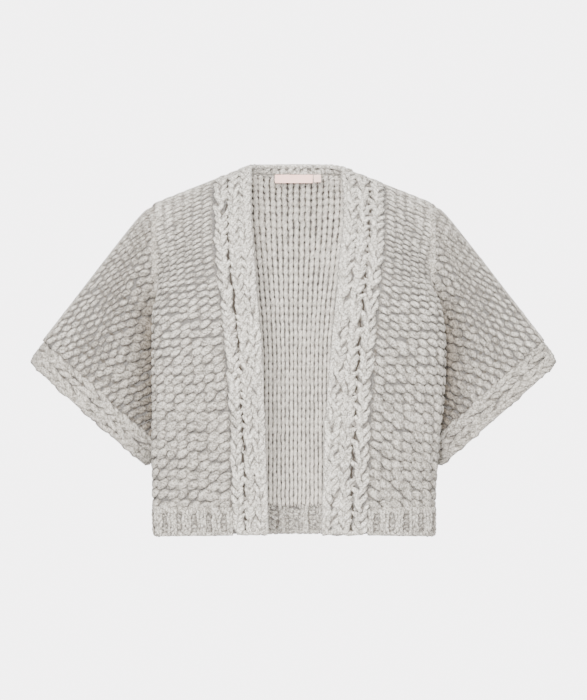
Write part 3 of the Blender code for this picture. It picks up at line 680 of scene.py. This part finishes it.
def course(panel, number, rng):
    """One course's yarn: path, normals of the cloth, height, half its width and thickness, and painted shade.
    """
    style = panel["style"]
    last = last_course(panel)
    middle = number + 0.5
    points = style["points"]
    t = np.arange(0.0, 2.0 * math.pi * width_at(panel, middle), 2.0 * math.pi / points)
    grown = ease(middle / last)
    hand = panel["hand"] * mix(1.0, panel["steady"], grown)
    rise = style["reach"] * mix(1.0, panel["widen"], grown) * np.cos(t)

    u = t / (2.0 * math.pi) + style["neck"] * np.sin(2.0 * t) + style["skew"] * hand * rise
    u = u + style["shift"] * drift(len(t), points // 2, rng)
    v = middle + rise + SHIFT_DOWN * style["shift"] * drift(len(t), points // 2, rng)
    v = v + panel["wander"] * unevenness(u, v, panel["seed"])

    facing = np.full(len(t), style["facing"])
    if style["lift"]:
        wave = np.sin(panel["rib_turn"] * t + 0.25 * math.pi) + panel["rib_share"]
        facing = facing * np.clip(RIB_STEEP * wave, panel["rib_low"], 1.0)
    limits = width_at(panel, v)
    bunch = np.zeros(len(t))
    if panel["fold"]:
        bunch = np.exp(-((limits - u) / BUNCH_STITCHES) ** 2) * ease(v / SHADE_COURSES - 1.0)
    deepen = mix(DEEPEN_TOP, panel["deepen"], grown) * (1.0 + BUNCH_DEPTH * bunch)
    height = facing * (style["depth"] * np.cos(2.0 * t) - style["lean"] * deepen * hand * np.sin(t))
    height = height + LOOSE_HEIGHT * drift(len(t), points, rng)
    fade = CALM_RELIEF + (1.0 - CALM_RELIEF) * ease(v / panel["calm"]) if panel["calm"] else 1.0
    depth = (height - style["lift"] * facing) * fade

    away = 1.0
    if panel["wrap"]:
        away = ease(np.minimum(np.abs(v), np.abs(last - v)) / TIP_CALM)
    if panel["part_at"] is not None:
        u = u + open_groove(panel, u, v, away)
    side_margins, end_margins = panel["margins"]
    u = hold_back(u, side_margins[0], limits - side_margins[1], SIDE_GIVE)
    if not panel["wrap"]:
        v = hold_back(v, end_margins[0], last - end_margins[1], END_GIVE)
    if panel["hump"]:
        depth = depth * mix(TIP_KEEPS, 1.0, away) + mix(TIP_RAISE, relief(panel, u), away)
    path, out = on_cloth(panel, u, v, depth + panel["layer"] * fade)

    # Painted shade: the panel's own shade, growing down it where set; on a sleeve it grows from the ridge and
    # deepens in the fold behind the body's edge
    shade = np.full(len(t), panel["shade"] * (grown if panel["grows"] else 1.0))
    if panel["fold"]:
        shade = shade * ease(v / SHADE_COURSES)
        shade = shade + (1.0 - shade) * in_fold(panel["fold"], path)
    swell = fullness(panel, u, v) * (1.0 + BUNCH_WIDTH * bunch)
    belly = 1.0 + style["belly"] * mix(1.0, panel["even"], grown) * np.cos(4.0 * t)
    belly = belly - style["taper"] * hand * np.sin(t)
    return path, out, height, style["side"] * swell * belly, style["out"] * np.sqrt(swell), shade


def strand(panel, line, rng):
    """A plain yarn along one course, one column or the seam of a panel, in the form that course() gives."""
    last = last_course(panel)
    if line["along"] == "course":
        u = np.arange(0.0, width_at(panel, line["at"]), STRAND_STEP)
        v = np.full(len(u), line["at"]) + line["wave"] * drift(len(u), STRAND_WAVER, rng)
    elif line["along"] == "seam":
        v = np.arange(SEAM_FROM, last, STRAND_STEP)
        u = width_at(panel, v) - line["at"]
    else:
        v = np.arange(0.0, last, STRAND_STEP)
        u = line["at"] + line["sway"] * np.sin(GROOVE_TURN * v)
        u = u + line["wave"] * drift(len(v), STRAND_WAVER, rng)
    path, out = on_cloth(panel, u, v, np.full(len(u), line["height"]))
    # The swaying yarn in a band's groove is painted in full shade, standing for the groove's dark shadow
    rise, shade = (0.0, 1.0) if line["sway"] else (BODY_WALL, panel["shade"])
    return [path, out] + [np.full(len(u), value) for value in (rise, line["side"], line["out"], shade)]


def tube(path, out, half_side, half_out):
    """Rings of points round a path, wider along the cloth than through it."""
    tangent = np.gradient(path, axis=0)
    tangent /= np.maximum(np.linalg.norm(tangent, axis=1, keepdims=True), TINY)
    side = np.cross(tangent, out)
    side /= np.maximum(np.linalg.norm(side, axis=1, keepdims=True), TINY)
    up = np.cross(side, tangent)
    angle = np.arange(YARN_SIDES) * 2.0 * math.pi / YARN_SIDES
    sideways = side[:, None] * (np.cos(angle)[None, :] * half_side[:, None])[:, :, None]
    upward = up[:, None] * (np.sin(angle)[None, :] * half_out[:, None])[:, :, None]
    return path[:, None] + sideways + upward


def walls(rings):
    """Quads between rows of points whose columns close round."""
    near, far = rings[:-1], rings[1:]
    return np.stack((near, np.roll(near, -1, 1), np.roll(far, -1, 1), far), axis=-1).reshape(-1, 4)


def tube_faces(first, rings):
    """Quads of one tube of rings, with both ends closed."""
    index = first + np.arange(rings * YARN_SIDES).reshape(rings, YARN_SIDES)
    start, end = index[0], index[-1]
    caps = np.array((
        (start[3], start[2], start[1], start[0]), (start[5], start[4], start[3], start[0]),
        (end[0], end[1], end[2], end[3]), (end[0], end[3], end[4], end[5]),
    ))
    return np.concatenate((walls(index), caps))


def make_mesh(name, verts, quads, uv_maps, material):
    """A smooth mesh object of quads with named UV maps."""
    mesh = bpy.data.meshes.new(name)
    mesh.from_pydata(verts, [], quads)
    mesh.shade_smooth()
    for map_name, values in uv_maps.items():
        layer = mesh.uv_layers.new(name=map_name)
        layer.data.foreach_set("uv", np.asarray(values, dtype=np.float32).ravel())
    mesh.materials.append(material)
    mesh.validate()
    return add_object(name, mesh)


def knit(name, panels, material, seed):
    """All the courses and plain yarns of one or more panels of one style, as one mesh of yarn."""
    rng = np.random.default_rng(seed)
    runs = []
    for panel in panels:
        for number in range(panel["first"], panel["last"]):
            runs.append(course(panel, number, rng))
        for line in panel["strands"]:
            runs.append(strand(panel, line, rng))
    verts, quads, strips, fibres, shade_masks = [], [], [], [], []
    base = 0
    longest = max(run_length(run[0])[-1] for run in runs)
    ring_rise = np.sin(np.arange(YARN_SIDES) * 2.0 * math.pi / YARN_SIDES)
    shade_lift = panels[0]["style"]["shade_lift"]
    for number, (path, out, height, half_side, half_out, shade) in enumerate(runs):
        swell = 1.0 + YARN_SWELL * drift(len(path), YARN_WAVER, rng)
        rings = tube(path, out, half_side, half_out)
        rings = path[:, None] + (rings - path[:, None]) * swell[:, None, None]
        faces = tube_faces(base, len(rings))
        local = faces - base
        ring_of, side_of = local // YARN_SIDES, local % YARN_SIDES
        wraps = side_of.max(axis=1, keepdims=True) == YARN_SIDES - 1
        around = np.where((side_of == 0) & wraps, 1.0, side_of / YARN_SIDES)
        length = run_length(path)[ring_of]
        # Painted shade mask: how far each point of the yarn stands out of the cloth; low values are painted
        # dark
        rise = shade_lift * np.abs(height[:, None] + half_out[:, None] * ring_rise[None, :]) / BODY_WALL
        strip = number + STRIP_EDGE + (1.0 - 2.0 * STRIP_EDGE) * around
        strips.append(np.stack((length / longest, strip / len(runs)), axis=-1))
        fibres.append(np.stack((length + FIBRE_STEP * number, around), axis=-1))
        shade_masks.append(np.stack((rise[ring_of, side_of], shade[ring_of]), axis=-1))
        verts.append(rings.reshape(-1, 3))
        quads.append(faces)
        base += len(rings) * YARN_SIDES
    maps = {"OFBake": np.concatenate(strips), "Yarn": np.concatenate(fibres), "PaintedShade": np.concatenate(shade_masks)}
    return make_mesh(name, np.concatenate(verts), np.concatenate(quads), maps, material)


def shell(name, points, normals, material, wrap):
    """A thin closed cloth behind the yarn, from a grid of middle points."""
    rows, cols = points.shape[:2]
    verts = np.concatenate([(points + side * SHELL * normals).reshape(-1, 3) for side in (0.5, -0.5)])
    top = np.arange(rows * cols).reshape(rows, cols)
    low = top + rows * cols
    ring = np.concatenate((top, low[:, ::-1]), axis=1)
    faces = [walls(np.concatenate((ring, ring[:1])) if wrap else ring)]
    ends = () if wrap else ((0, -1), (-1, 1))
    for end, step in ends:
        over, under = top[end, ::step], low[end, ::step]
        faces.append(np.stack((over[:-1], over[1:], under[1:], under[:-1]), axis=-1))
    quads = np.concatenate(faces)
    if np.dot(np.cross(points[1, 0] - points[0, 0], points[0, 1] - points[0, 0]), normals[0, 0]) > 0:
        quads = quads[:, ::-1]
    across = np.tile(np.linspace(0.0, 1.0, cols), rows) * SHEET_HALF
    down = np.repeat(np.linspace(0.0, 1.0, rows), cols)
    flat = np.stack((np.concatenate((across, 1.0 - SHEET_HALF + across)), np.tile(down, 2)), axis=-1)
    return make_mesh(name, verts, quads, {"Cloth": flat[quads]}, material)


def steps_to(count):
    """Every grid step from 0 to a count of courses or stitches."""
    return np.arange(0.0, count + GRID_STEP / 2, GRID_STEP)


def course_levels(length, heights, top, low):
    """How many courses a run has, and their heights at each grid step. Their pitch grows from top to low."""
    grown = ease((length / length[-1] - GROW_FROM) / GROW_OVER)
    pitch = mix(top, low, grown)
    passed = np.concatenate(((0.0,), np.cumsum(np.diff(length) / pitch[1:])))
    count = int(round(passed[-1]))
    return count, np.interp(steps_to(count) / count * passed[-1], passed, heights)


def start_edge(side, face, height):
    """Distance out where a front or half of the back starts: at its band or at the middle."""
    return band_edge(side, "outer", height) if face is FRONT else 0.0


def hang(side, face, top_z, share, top, low):
    """A front or half back: its surface, how far down courses are, 0 to 1, their heights and their count."""
    heights = mix(top_z[0], RIB_TOP, SHARES)
    x, depth = section(side, face, start_edge(side, face, heights), 0.0, heights)
    length = run_length(place(side, face, x, depth, heights))
    count, level = course_levels(length, heights, top, low)
    passed = (top_z[0] - level) / (top_z[0] - RIB_TOP)
    kept = (1.0 - passed) ** TILT_POWER
    height = level[:, None] + kept[:, None] * (top_z - top_z[0])[None, :]
    x, depth = section(side, face, start_edge(side, face, height), share[None, :], height)
    points, normals = surface(place(side, face, x, depth, height), (0.0, face["sign"], 0.0), BODY_WALL)
    return points, normals, passed, height, count


def set_panel(lay, points, normals, length_at, from_end=False, **own):
    """A panel from its surface: its grid at even stitches, how its courses lie, and what else is its own."""
    moved, turned, ends = even_stitches(points, normals, length_at, from_end)
    return dict(lay, points=moved, normals=turned, ends=ends, cloth=(points, normals), **own)


def edge_lines(kind, last=0.0):
    """The plain yarns of one kind of panel, some counted back from its last course."""
    lines = [dict({"height": 0.0, "sway": 0.0}, **dict(zip(EDGE_COLUMNS, row))) for row in EDGE_YARNS[kind]]
    for line in lines:
        if line["at"] < 0.0:
            line["at"] += last
    return lines


def front_panel(side):
    """A front: courses from the ridge to the rib, stitches from the band to the side."""
    share = np.linspace(0.0, 1.0, DENSE // 2)
    top_z = ridge(mix(band_edge(side, "outer", 0.0), ARM_TOP_X, share))
    points, normals, _, height, count = hang(side, FRONT, top_z, share, FRONT_COURSE_TOP, FRONT_COURSE_LOW)
    return set_panel(FRONT_LAY, points, normals, FRONT_STITCH, last=count + 2, seam_heights=height[:, -1],
                     seed=FRONT_LAY["seed"] + SIDES[side], strands=edge_lines("front"))


def top_height(side, x, depth):
    """Height of the back's top: on its crown where it lies behind the ridge, and else on the ridge."""
    height = ridge(x)
    behind = depth > 0.0
    height[behind] = back_top(side, x[behind], depth[behind])
    return height


def back_panel(side):
    """Half of the back: courses from the neck and ridge to the rib, stitches from the middle to the side."""
    neck_x, neck_depth = neck_seam(side, np.linspace(0.0, 1.0, DENSE // 6))
    side_x = np.linspace(neck_x[-1], ARM_TOP_X, DENSE // 3)[1:]
    top_x = np.concatenate((neck_x, side_x))
    top_z = top_height(side, top_x, np.concatenate((neck_depth, np.zeros(len(side_x)))))
    share = top_x / ARM_TOP_X
    points, normals, passed, height, count = hang(side, BACK, top_z, share, BACK_COURSE, BACK_COURSE)
    length_at = mix(BACK_STITCH_TOP, BACK_STITCH_LOW, ease(passed / BACK_NARROWS))[:, None]
    return set_panel(BACK_LAY, points, normals, length_at, last=count + 1, seam_heights=height[:, -1],
                     seed=BACK_LAY["seed"] + SIDES[side], strands=edge_lines("back"))


def sleeve_panel(side, face, seam_heights):
    """Half a sleeve: courses from the ridge to the underarm, stitches from the cuff in to the armhole."""
    v = steps_to(SLEEVE_COURSES)
    matched = seam_heights[:int(SLEEVE_MATCHED / GRID_STEP) + 1]
    rest = np.clip((v - SLEEVE_MATCHED) / (SLEEVE_COURSES - SLEEVE_MATCHED), 0.0, 1.0)
    start_z = mix(matched[-1], UNDERARM_Z, rest ** SLEEVE_ROWS_POWER)
    start_z[:len(matched)] = matched
    seam_turn = oval_turn((ARM_TOP_Z - start_z) / (ARM_TOP_Z - UNDERARM_Z), ARMHOLE_POWER)
    x, depth, z = cuff_point(SHARES, CUFF_WIDTH)
    round_cuff = run_length(place(side, face, x, depth, z))
    cuff_turn = np.interp(v / SLEEVE_COURSES * round_cuff[-1], round_cuff, SHARES)
    share = np.linspace(0.0, UNDER_CUFF, DENSE // 2)[None, :]
    turn = mix(seam_turn[:, None], cuff_turn[:, None], share)
    points, normals = surface(sleeve_point(side, face, turn, share), (0.0, face["sign"], 0.0), BODY_WALL)
    return set_panel(SLEEVE_LAY, points, normals, SLEEVE_STITCH, from_end=True, last=SLEEVE_COURSES + 1,
                     seed=SLEEVE_LAY["seed"] + SIDES[side] + 2.0 * face["sign"], fold=side,
                     shade=SLEEVE_SHADE[side], strands=edge_lines("sleeve"))


def step_rows(rows, pitch, wrap=False):
    """Rows of points set again at even courses, at every grid step."""
    if wrap:
        rows = np.concatenate((rows, rows[:1]))
    length = run_length(rows.mean(axis=1))
    count = int(round(length[-1] / pitch))
    steps = np.linspace(0.0, length[-1], int(count / GRID_STEP) + 1)
    if wrap:
        steps = steps[:-1]
    return np.stack([read_run(steps, length, column) for column in rows.transpose(1, 0, 2)], axis=1)


def strip_panel(lay, rows, outward, wall, kind):
    """A band that is a few stitches across, from rows of points at every grid step."""
    points, normals = surface(rows, outward, wall, lay["wrap"])
    last = len(points) * GRID_STEP
    return dict(lay, points=points, normals=normals, ends=np.full(len(points), float(lay["columns"])),
                last=int(round(last)), cloth=(points, normals), strands=edge_lines(kind, last))


def front_band_panel(side):
    """A front band: courses from the ridge to the hem, columns from its free edge to the front."""
    u = steps_to(BAND_LAY["columns"])
    shares = np.interp(u, np.arange(len(BAND_GROOVES)), BAND_GROOVES)
    top_z = ridge(mix(band_edge(side, "inner", 0.0), band_edge(side, "outer", 0.0), shares))
    down = SHARES[:, None] ** BAND_ROWS_POWER
    height = top_z[None, :] + (BAND_BOTTOM - top_z[None, :]) * down
    x = mix(band_edge(side, "inner", height), band_edge(side, "outer", height), shares[None, :])
    _, depth = section(side, FRONT, x, 0.0, height)
    rows = step_rows(place(side, FRONT, x, depth, height), BAND_COURSE)
    return strip_panel(BAND_LAY, rows, (0.0, -1.0, 0.0), BAND_WALL, "band")


def cuff_panel(side):
    """A cuff: courses round the arm from its tip, columns from the sleeve to its free edge."""
    u = steps_to(CUFF_LAY["columns"])
    halves = []
    for face, steps in ((FRONT, SHARES[:-1]), (BACK, SHARES[:0:-1])):
        kept = 1.0 - TIP_ROUND * np.exp(-(steps / TIP_TURN) ** 2)
        up = (1.0 - kept[:, None] * (u / CUFF_LAY["columns"])[None, :]) * CUFF_WIDTH
        x, depth, height = cuff_point(steps[:, None], up)
        halves.append(place(side, face, x, depth, height))
    rows = step_rows(np.concatenate(halves), CUFF_COURSE, wrap=True)
    outward = rows[len(rows) // 2, len(u) // 2] - rows[:, len(u) // 2].mean(axis=0)
    return strip_panel(CUFF_LAY, rows, outward, BODY_WALL, "cuff")


def neck_panel():
    """The neck trim: courses round the back of the neck, one column from the back to its free edge."""
    u = steps_to(TRIM_LAY["columns"])
    turns = np.linspace(0.0, 1.0, DENSE // 3)
    runs = []
    for side in SIDES:
        seam_x, seam_depth = neck_seam(side, turns)
        seam = place(side, BACK, seam_x, seam_depth, top_height(side, seam_x, seam_depth))
        edge = place(side, BACK, *neck_edge(side, turns))
        runs.append(mix(seam[:, None], edge[:, None], u[None, :, None]))
    rows = step_rows(np.concatenate((runs[0][::-1], runs[1][1:])), BAND_COURSE)
    return strip_panel(TRIM_LAY, rows, (0.0, 1.0, 0.0), BAND_WALL, "trim")


def rib_panel(face, side):
    """Half of the hem: stitches from the band or the middle to the side."""
    lay = RIB_LAYS[face["name"]]
    v = steps_to(RIB_COURSES)[:, None]
    height = mix(RIB_TOP, lay["hem"] + lay["hem_rise"] * (1.0 - SHARES[None, :]), v / RIB_COURSES)
    x, depth = section(side, face, start_edge(side, face, height), SHARES[None, :], height)
    points, normals = surface(place(side, face, x, depth, height), (0.0, face["sign"], 0.0), RIB_WALL)
    strands = edge_lines("rib", RIB_COURSES)
    panel = set_panel(lay, points, normals, RIB_STITCH, last=RIB_COURSES, strands=strands)
    panel["cloth"] = (points[:-2], normals[:-2])
    return panel


class Nodes:
    """Short calls for the nodes of a material or a world."""

    def __init__(self, owner):
        owner.use_nodes = True
        self.owner = owner
        self.tree = owner.node_tree

    def add(self, kind, inputs=(), **settings):
        """A node with its settings, and values or links at its inputs."""
        node = self.tree.nodes.new(kind)
        for key, value in settings.items():
            setattr(node, key, value)
        for key, value in dict(inputs).items():
            if isinstance(value, bpy.types.NodeSocket):
                self.tree.links.new(value, node.inputs[key])
            else:
                node.inputs[key].default_value = value
        return node

    def noise(self, vector, scale, detail=3.0):
        """A cloudy pattern, 0 to 1."""
        inputs = {"Vector": vector, "Scale": scale, "Detail": detail}
        return self.add("ShaderNodeTexNoise", inputs).outputs["Fac"]

    def maths(self, kind, first, second):
        """A sum on two values."""
        return self.add("ShaderNodeMath", {0: first, 1: second}, operation=kind).outputs[0]

    def blend(self, share, first, second, kind="MIX"):
        """A colour at a share of the way from the first to the second."""
        inputs = {"Factor": share, 6: first, 7: second}
        return self.add("ShaderNodeMix", inputs, data_type="RGBA", blend_type=kind).outputs[2]

    def spread(self, value, low, high):
        """A value stretched so that low becomes 0 and high becomes 1."""
        return self.add("ShaderNodeMapRange", {"Value": value, "From Min": low, "From Max": high}).outputs[0]

    def split(self, uv_map):
        """The two parts of a named UV map."""
        uv = self.add("ShaderNodeUVMap", uv_map=uv_map).outputs[0]
        return self.add("ShaderNodeSeparateXYZ", {0: uv}).outputs[:2]

    def spot(self):
        """Where a point is on its own object."""
        return self.add("ShaderNodeTexCoord").outputs["Object"]

    def finish(self, colour, values, bump=None):
        """The material with its colour, its plain values and, where it has one, a bump."""
        shader = self.tree.nodes["Principled BSDF"]
        self.tree.links.new(colour, shader.inputs["Base Color"])
        for key, value in values.items():
            shader.inputs[key].default_value = value
        if bump:
            self.tree.links.new(self.add("ShaderNodeBump", bump).outputs[0], shader.inputs["Normal"])
        return self.owner


def yarn_material(name, light, mid, fleck):
    """Soft roving: fibres laid along the yarn with a slow twist, a pale and grey blend, and fine hairs, with
    painted shade where the yarn lies deep in the cloth and where the sleeve turns into its fold.
    """
    n = Nodes(bpy.data.materials.new(name))
    along, around = n.split("Yarn")
    # Both parts of this map drive painted shade: depth in the cloth, and the shade of the panel and of the
    # sleeve's fold
    rise, shade = n.split("PaintedShade")
    twist = n.maths("ADD", around, n.maths("MULTIPLY", along, TWISTS))
    turn = n.maths("MULTIPLY", twist, 2.0 * math.pi)
    on_ring = {0: n.maths("MULTIPLY", along, FIBRE_STRETCH), 1: n.maths("COSINE", turn, 0.0),
               2: n.maths("SINE", turn, 0.0)}
    where = {"along": n.add("ShaderNodeCombineXYZ", on_ring).outputs[0], "cloth": n.spot()}
    noise = {key: n.noise(where[kind], scale, detail) for key, (kind, scale, detail) in NOISES.items()}
    colour = n.blend(n.spread(noise["strands"], *BLEND), mid, light)
    tints = (
        ("patches", 0.35, 0.75, 0.30, mid),
        ("fibres", 0.52, 0.66, 0.70, DARK_FIBRE),
        ("hairs", 0.50, 0.80, 0.35, PALE_HAIR),
        ("flecks", 0.54, 0.64, fleck, DARK_FIBRE),
        ("flecks", 0.46, 0.36, fleck, PALE_HAIR),
    )
    for key, low, high, share, tint in tints:
        colour = n.blend(n.maths("MULTIPLY", n.spread(noise[key], low, high), share), colour, tint)
    # Painted shade: yarn lying deep in the cloth is blended towards the dark recess colour
    colour = n.blend(n.spread(rise, *RECESS_SHADE_SPREAD), PAINTED_RECESS_SHADE, colour)
    # Painted shade: the colour is multiplied towards the fold's dark colour by the panel's and the fold's
    # shade
    colour = n.blend(shade, colour, FOLD_PAINTED_SHADE, "MULTIPLY")
    height = n.maths("ADD", noise["strands"], n.maths("MULTIPLY", noise["fibres"], FIBRE_BUMP))
    height = n.maths("ADD", height, n.maths("MULTIPLY", noise["hairs"], HAIR_BUMP))
    values = {"Roughness": 1.0, "Specular IOR Level": 0.15, "Sheen Weight": 0.15, "Sheen Roughness": 0.6}
    return n.finish(colour, values, {"Strength": 0.9, "Distance": 0.0013, "Height": height})


def gap_shade_material(name):
    """The yarn seen deep between the stitches, coloured dark as painted shade."""
    n = Nodes(bpy.data.materials.new(name))
    fuzz = n.noise(n.spot(), GAP_SHADE_SCALE)
    # Painted shade: a dark, lightly mottled colour for the gaps between the stitches
    colour = n.blend(n.spread(fuzz, *GAP_SHADE_BLEND), GAP_SHADE_DARK, GAP_SHADE_PALE)
    values = {"Roughness": 1.0, "Specular IOR Level": 0.1}
    return n.finish(colour, values, {"Strength": 0.6, "Distance": 0.0008, "Height": fuzz})


def label_material(name, light, dark):
    """A smooth woven ribbon: crossed threads, a little cloudy, with a faint sheen."""
    n = Nodes(bpy.data.materials.new(name))
    spot = n.spot()
    threads = []
    for axis, scale in THREADS.items():
        inputs = {"Vector": spot, "Scale": scale, "Distortion": 0.4}
        threads.append(n.add("ShaderNodeTexWave", inputs, bands_direction=axis).outputs["Fac"])
    weave = n.maths("MULTIPLY", *threads)
    colour = n.blend(n.maths("MULTIPLY", weave, WEAVE_SHARE), light, dark)
    cloud = n.noise(spot, CLOUD_SCALE, 2.0)
    colour = n.blend(n.maths("MULTIPLY", cloud, CLOUD_SHARE), colour, dark)
    values = {"Roughness": 0.7, "Sheen Weight": 0.1}
    return n.finish(colour, values, {"Strength": 0.35, "Distance": 0.0002, "Height": weave})


# The inside's wool is a paler copy of the same wool: painted light on the back's inside
WOOLS = {
    "outside": yarn_material("wool_yarn", LIGHT_WOOL, MID_WOOL, FLECK),
    "inside": yarn_material("wool_yarn_back_painted_light", BACK_PAINTED_LIGHT, BACK_PAINTED_LIGHT_MID, BACK_FLECK),
}
GAP_SHADE = gap_shade_material("wool_gap_shade")


def cloth_of(panel, every):
    """Fewer points of a panel's surface, for the thin cloth behind its yarn."""
    points, normals = panel["cloth"]
    rows = sorted(set(range(0, len(points), every[0])) | {len(points) - 1})
    cols = sorted(set(range(0, points.shape[1], every[1])) | {points.shape[1] - 1})
    return points[rows][:, cols], normals[rows][:, cols]


def dress(kind, side, panels, layers=None):
    """One knitted piece: its layers of yarn, and the thin cloth behind them that stands for the solid, dark
    with painted shade.
    """
    node = kind + "_" + side if side else kind
    turn = int(side == "left")
    piece = dict(zip(PIECE_COLUMNS, PIECES[kind]))
    grids = [cloth_of(panel, piece["every"]) for panel in panels]
    points, normals = grids[0]
    if len(grids) == 2:
        points = np.concatenate((points[:, ::-1], grids[1][0][:, 1:]), axis=1)
        normals = np.concatenate((normals[:, ::-1], grids[1][1][:, 1:]), axis=1)
    cloth = shell(node + "_cloth", points, normals, GAP_SHADE, panels[0]["wrap"])
    yarns = []
    for number, group in enumerate(layers or [panels]):
        name = node + "_yarn_" + str(number + 1) if layers else node + "_yarn"
        yarns.append(knit(name, group, WOOLS[group[0]["wool"]], piece["seed"] + turn + number))
    for worn in [cloth] + yarns:
        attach(worn, "root")
        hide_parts(node)


def make_cardigan():
    """Every knitted piece: those of each side, then the back, the neck trim and the back's hem."""
    backs = [back_panel(side) for side in SIDES]
    layers = []
    for side, back in zip(SIDES, backs):
        front = front_panel(side)
        dress("front", side, [front])
        for face, body_panel in ((FRONT, front), (BACK, back)):
            sleeve = sleeve_panel(side, face, body_panel["seam_heights"])
            dress("sleeve_" + face["name"], side, [sleeve])
        dress("front_band", side, [front_band_panel(side)])
        dress("cuff", side, [cuff_panel(side)])
        dress("hem_rib_front", side, [rib_panel(FRONT, side)])
        layers += [[back], [dict(back, hand=SIDES[side], **BACK_OUTSIDE)]]
    dress("back", "", backs, layers)
    dress("neck_band", "", [neck_panel()])
    dress("hem_rib_back", "", [rib_panel(BACK, side) for side in SIDES])


def finish_labels():
    """The label and the size tab, which are the solids themselves in bare woven ribbon."""
    for node, (material, light, dark) in RIBBONS.items():
        ribbon = label_material(material, light, dark)
        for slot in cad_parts[node].material_slots:
            slot.material = ribbon


def add_object(name, data):
    """A new object in the scene."""
    made = bpy.data.objects.new(name, data)
    bpy.context.scene.collection.objects.link(made)
    return made


def make_camera():
    """A long lens straight before the cardigan."""
    data = bpy.data.cameras.new("camera")
    data.sensor_width = SENSOR
    data.lens = SENSOR * VIEW_DISTANCE / VIEW_SPAN
    data.clip_end = 50.0
    camera = add_object("camera", data)
    camera.location = (0.0, -VIEW_DISTANCE, VIEW_HEIGHT)
    camera.rotation_euler = (math.pi / 2, 0.0, 0.0)
    bpy.context.scene.camera = camera


def area_light(name, place_at, size, energy, colour):
    """A soft square light that faces the cardigan's middle."""
    data = bpy.data.lights.new(name, "AREA")
    data.size = size
    data.energy = energy
    data.color = colour
    light = add_object(name, data)
    light.location = place_at
    aim = Vector((0.0, 0.0, VIEW_HEIGHT)) - light.location
    light.rotation_euler = aim.to_track_quat("-Z", "Y").to_euler()


def make_floor():
    """A plain pale floor, well below the cardigan."""
    bpy.ops.mesh.primitive_circle_add(vertices=96, radius=2.4, fill_type="NGON", location=(0.0, 0.0, FLOOR_Z))
    floor = bpy.context.object
    floor.name = "floor"
    n = Nodes(bpy.data.materials.new("pale_floor"))
    colour = n.blend(n.noise(n.spot(), FLOOR_SCALE), *FLOOR_COLOURS)
    floor.data.materials.append(n.finish(colour, {"Roughness": 0.9}))


def make_paper():
    """Bright pale paper all round, which lights the cardigan only softly."""
    n = Nodes(bpy.data.worlds.new("studio"))
    bpy.context.scene.world = n.owner
    seen = n.add("ShaderNodeLightPath").outputs["Is Camera Ray"]
    inputs = {0: seen, 1: PAPER_STRENGTH - AMBIENT, 2: AMBIENT}
    strength = n.add("ShaderNodeMath", inputs, operation="MULTIPLY_ADD").outputs[0]
    background = n.tree.nodes["Background"]
    background.inputs[0].default_value = PAPER
    n.tree.links.new(strength, background.inputs[1])


make_camera()
make_cardigan()
finish_labels()
make_floor()
make_paper()
for light in LIGHTS:
    area_light(*light)
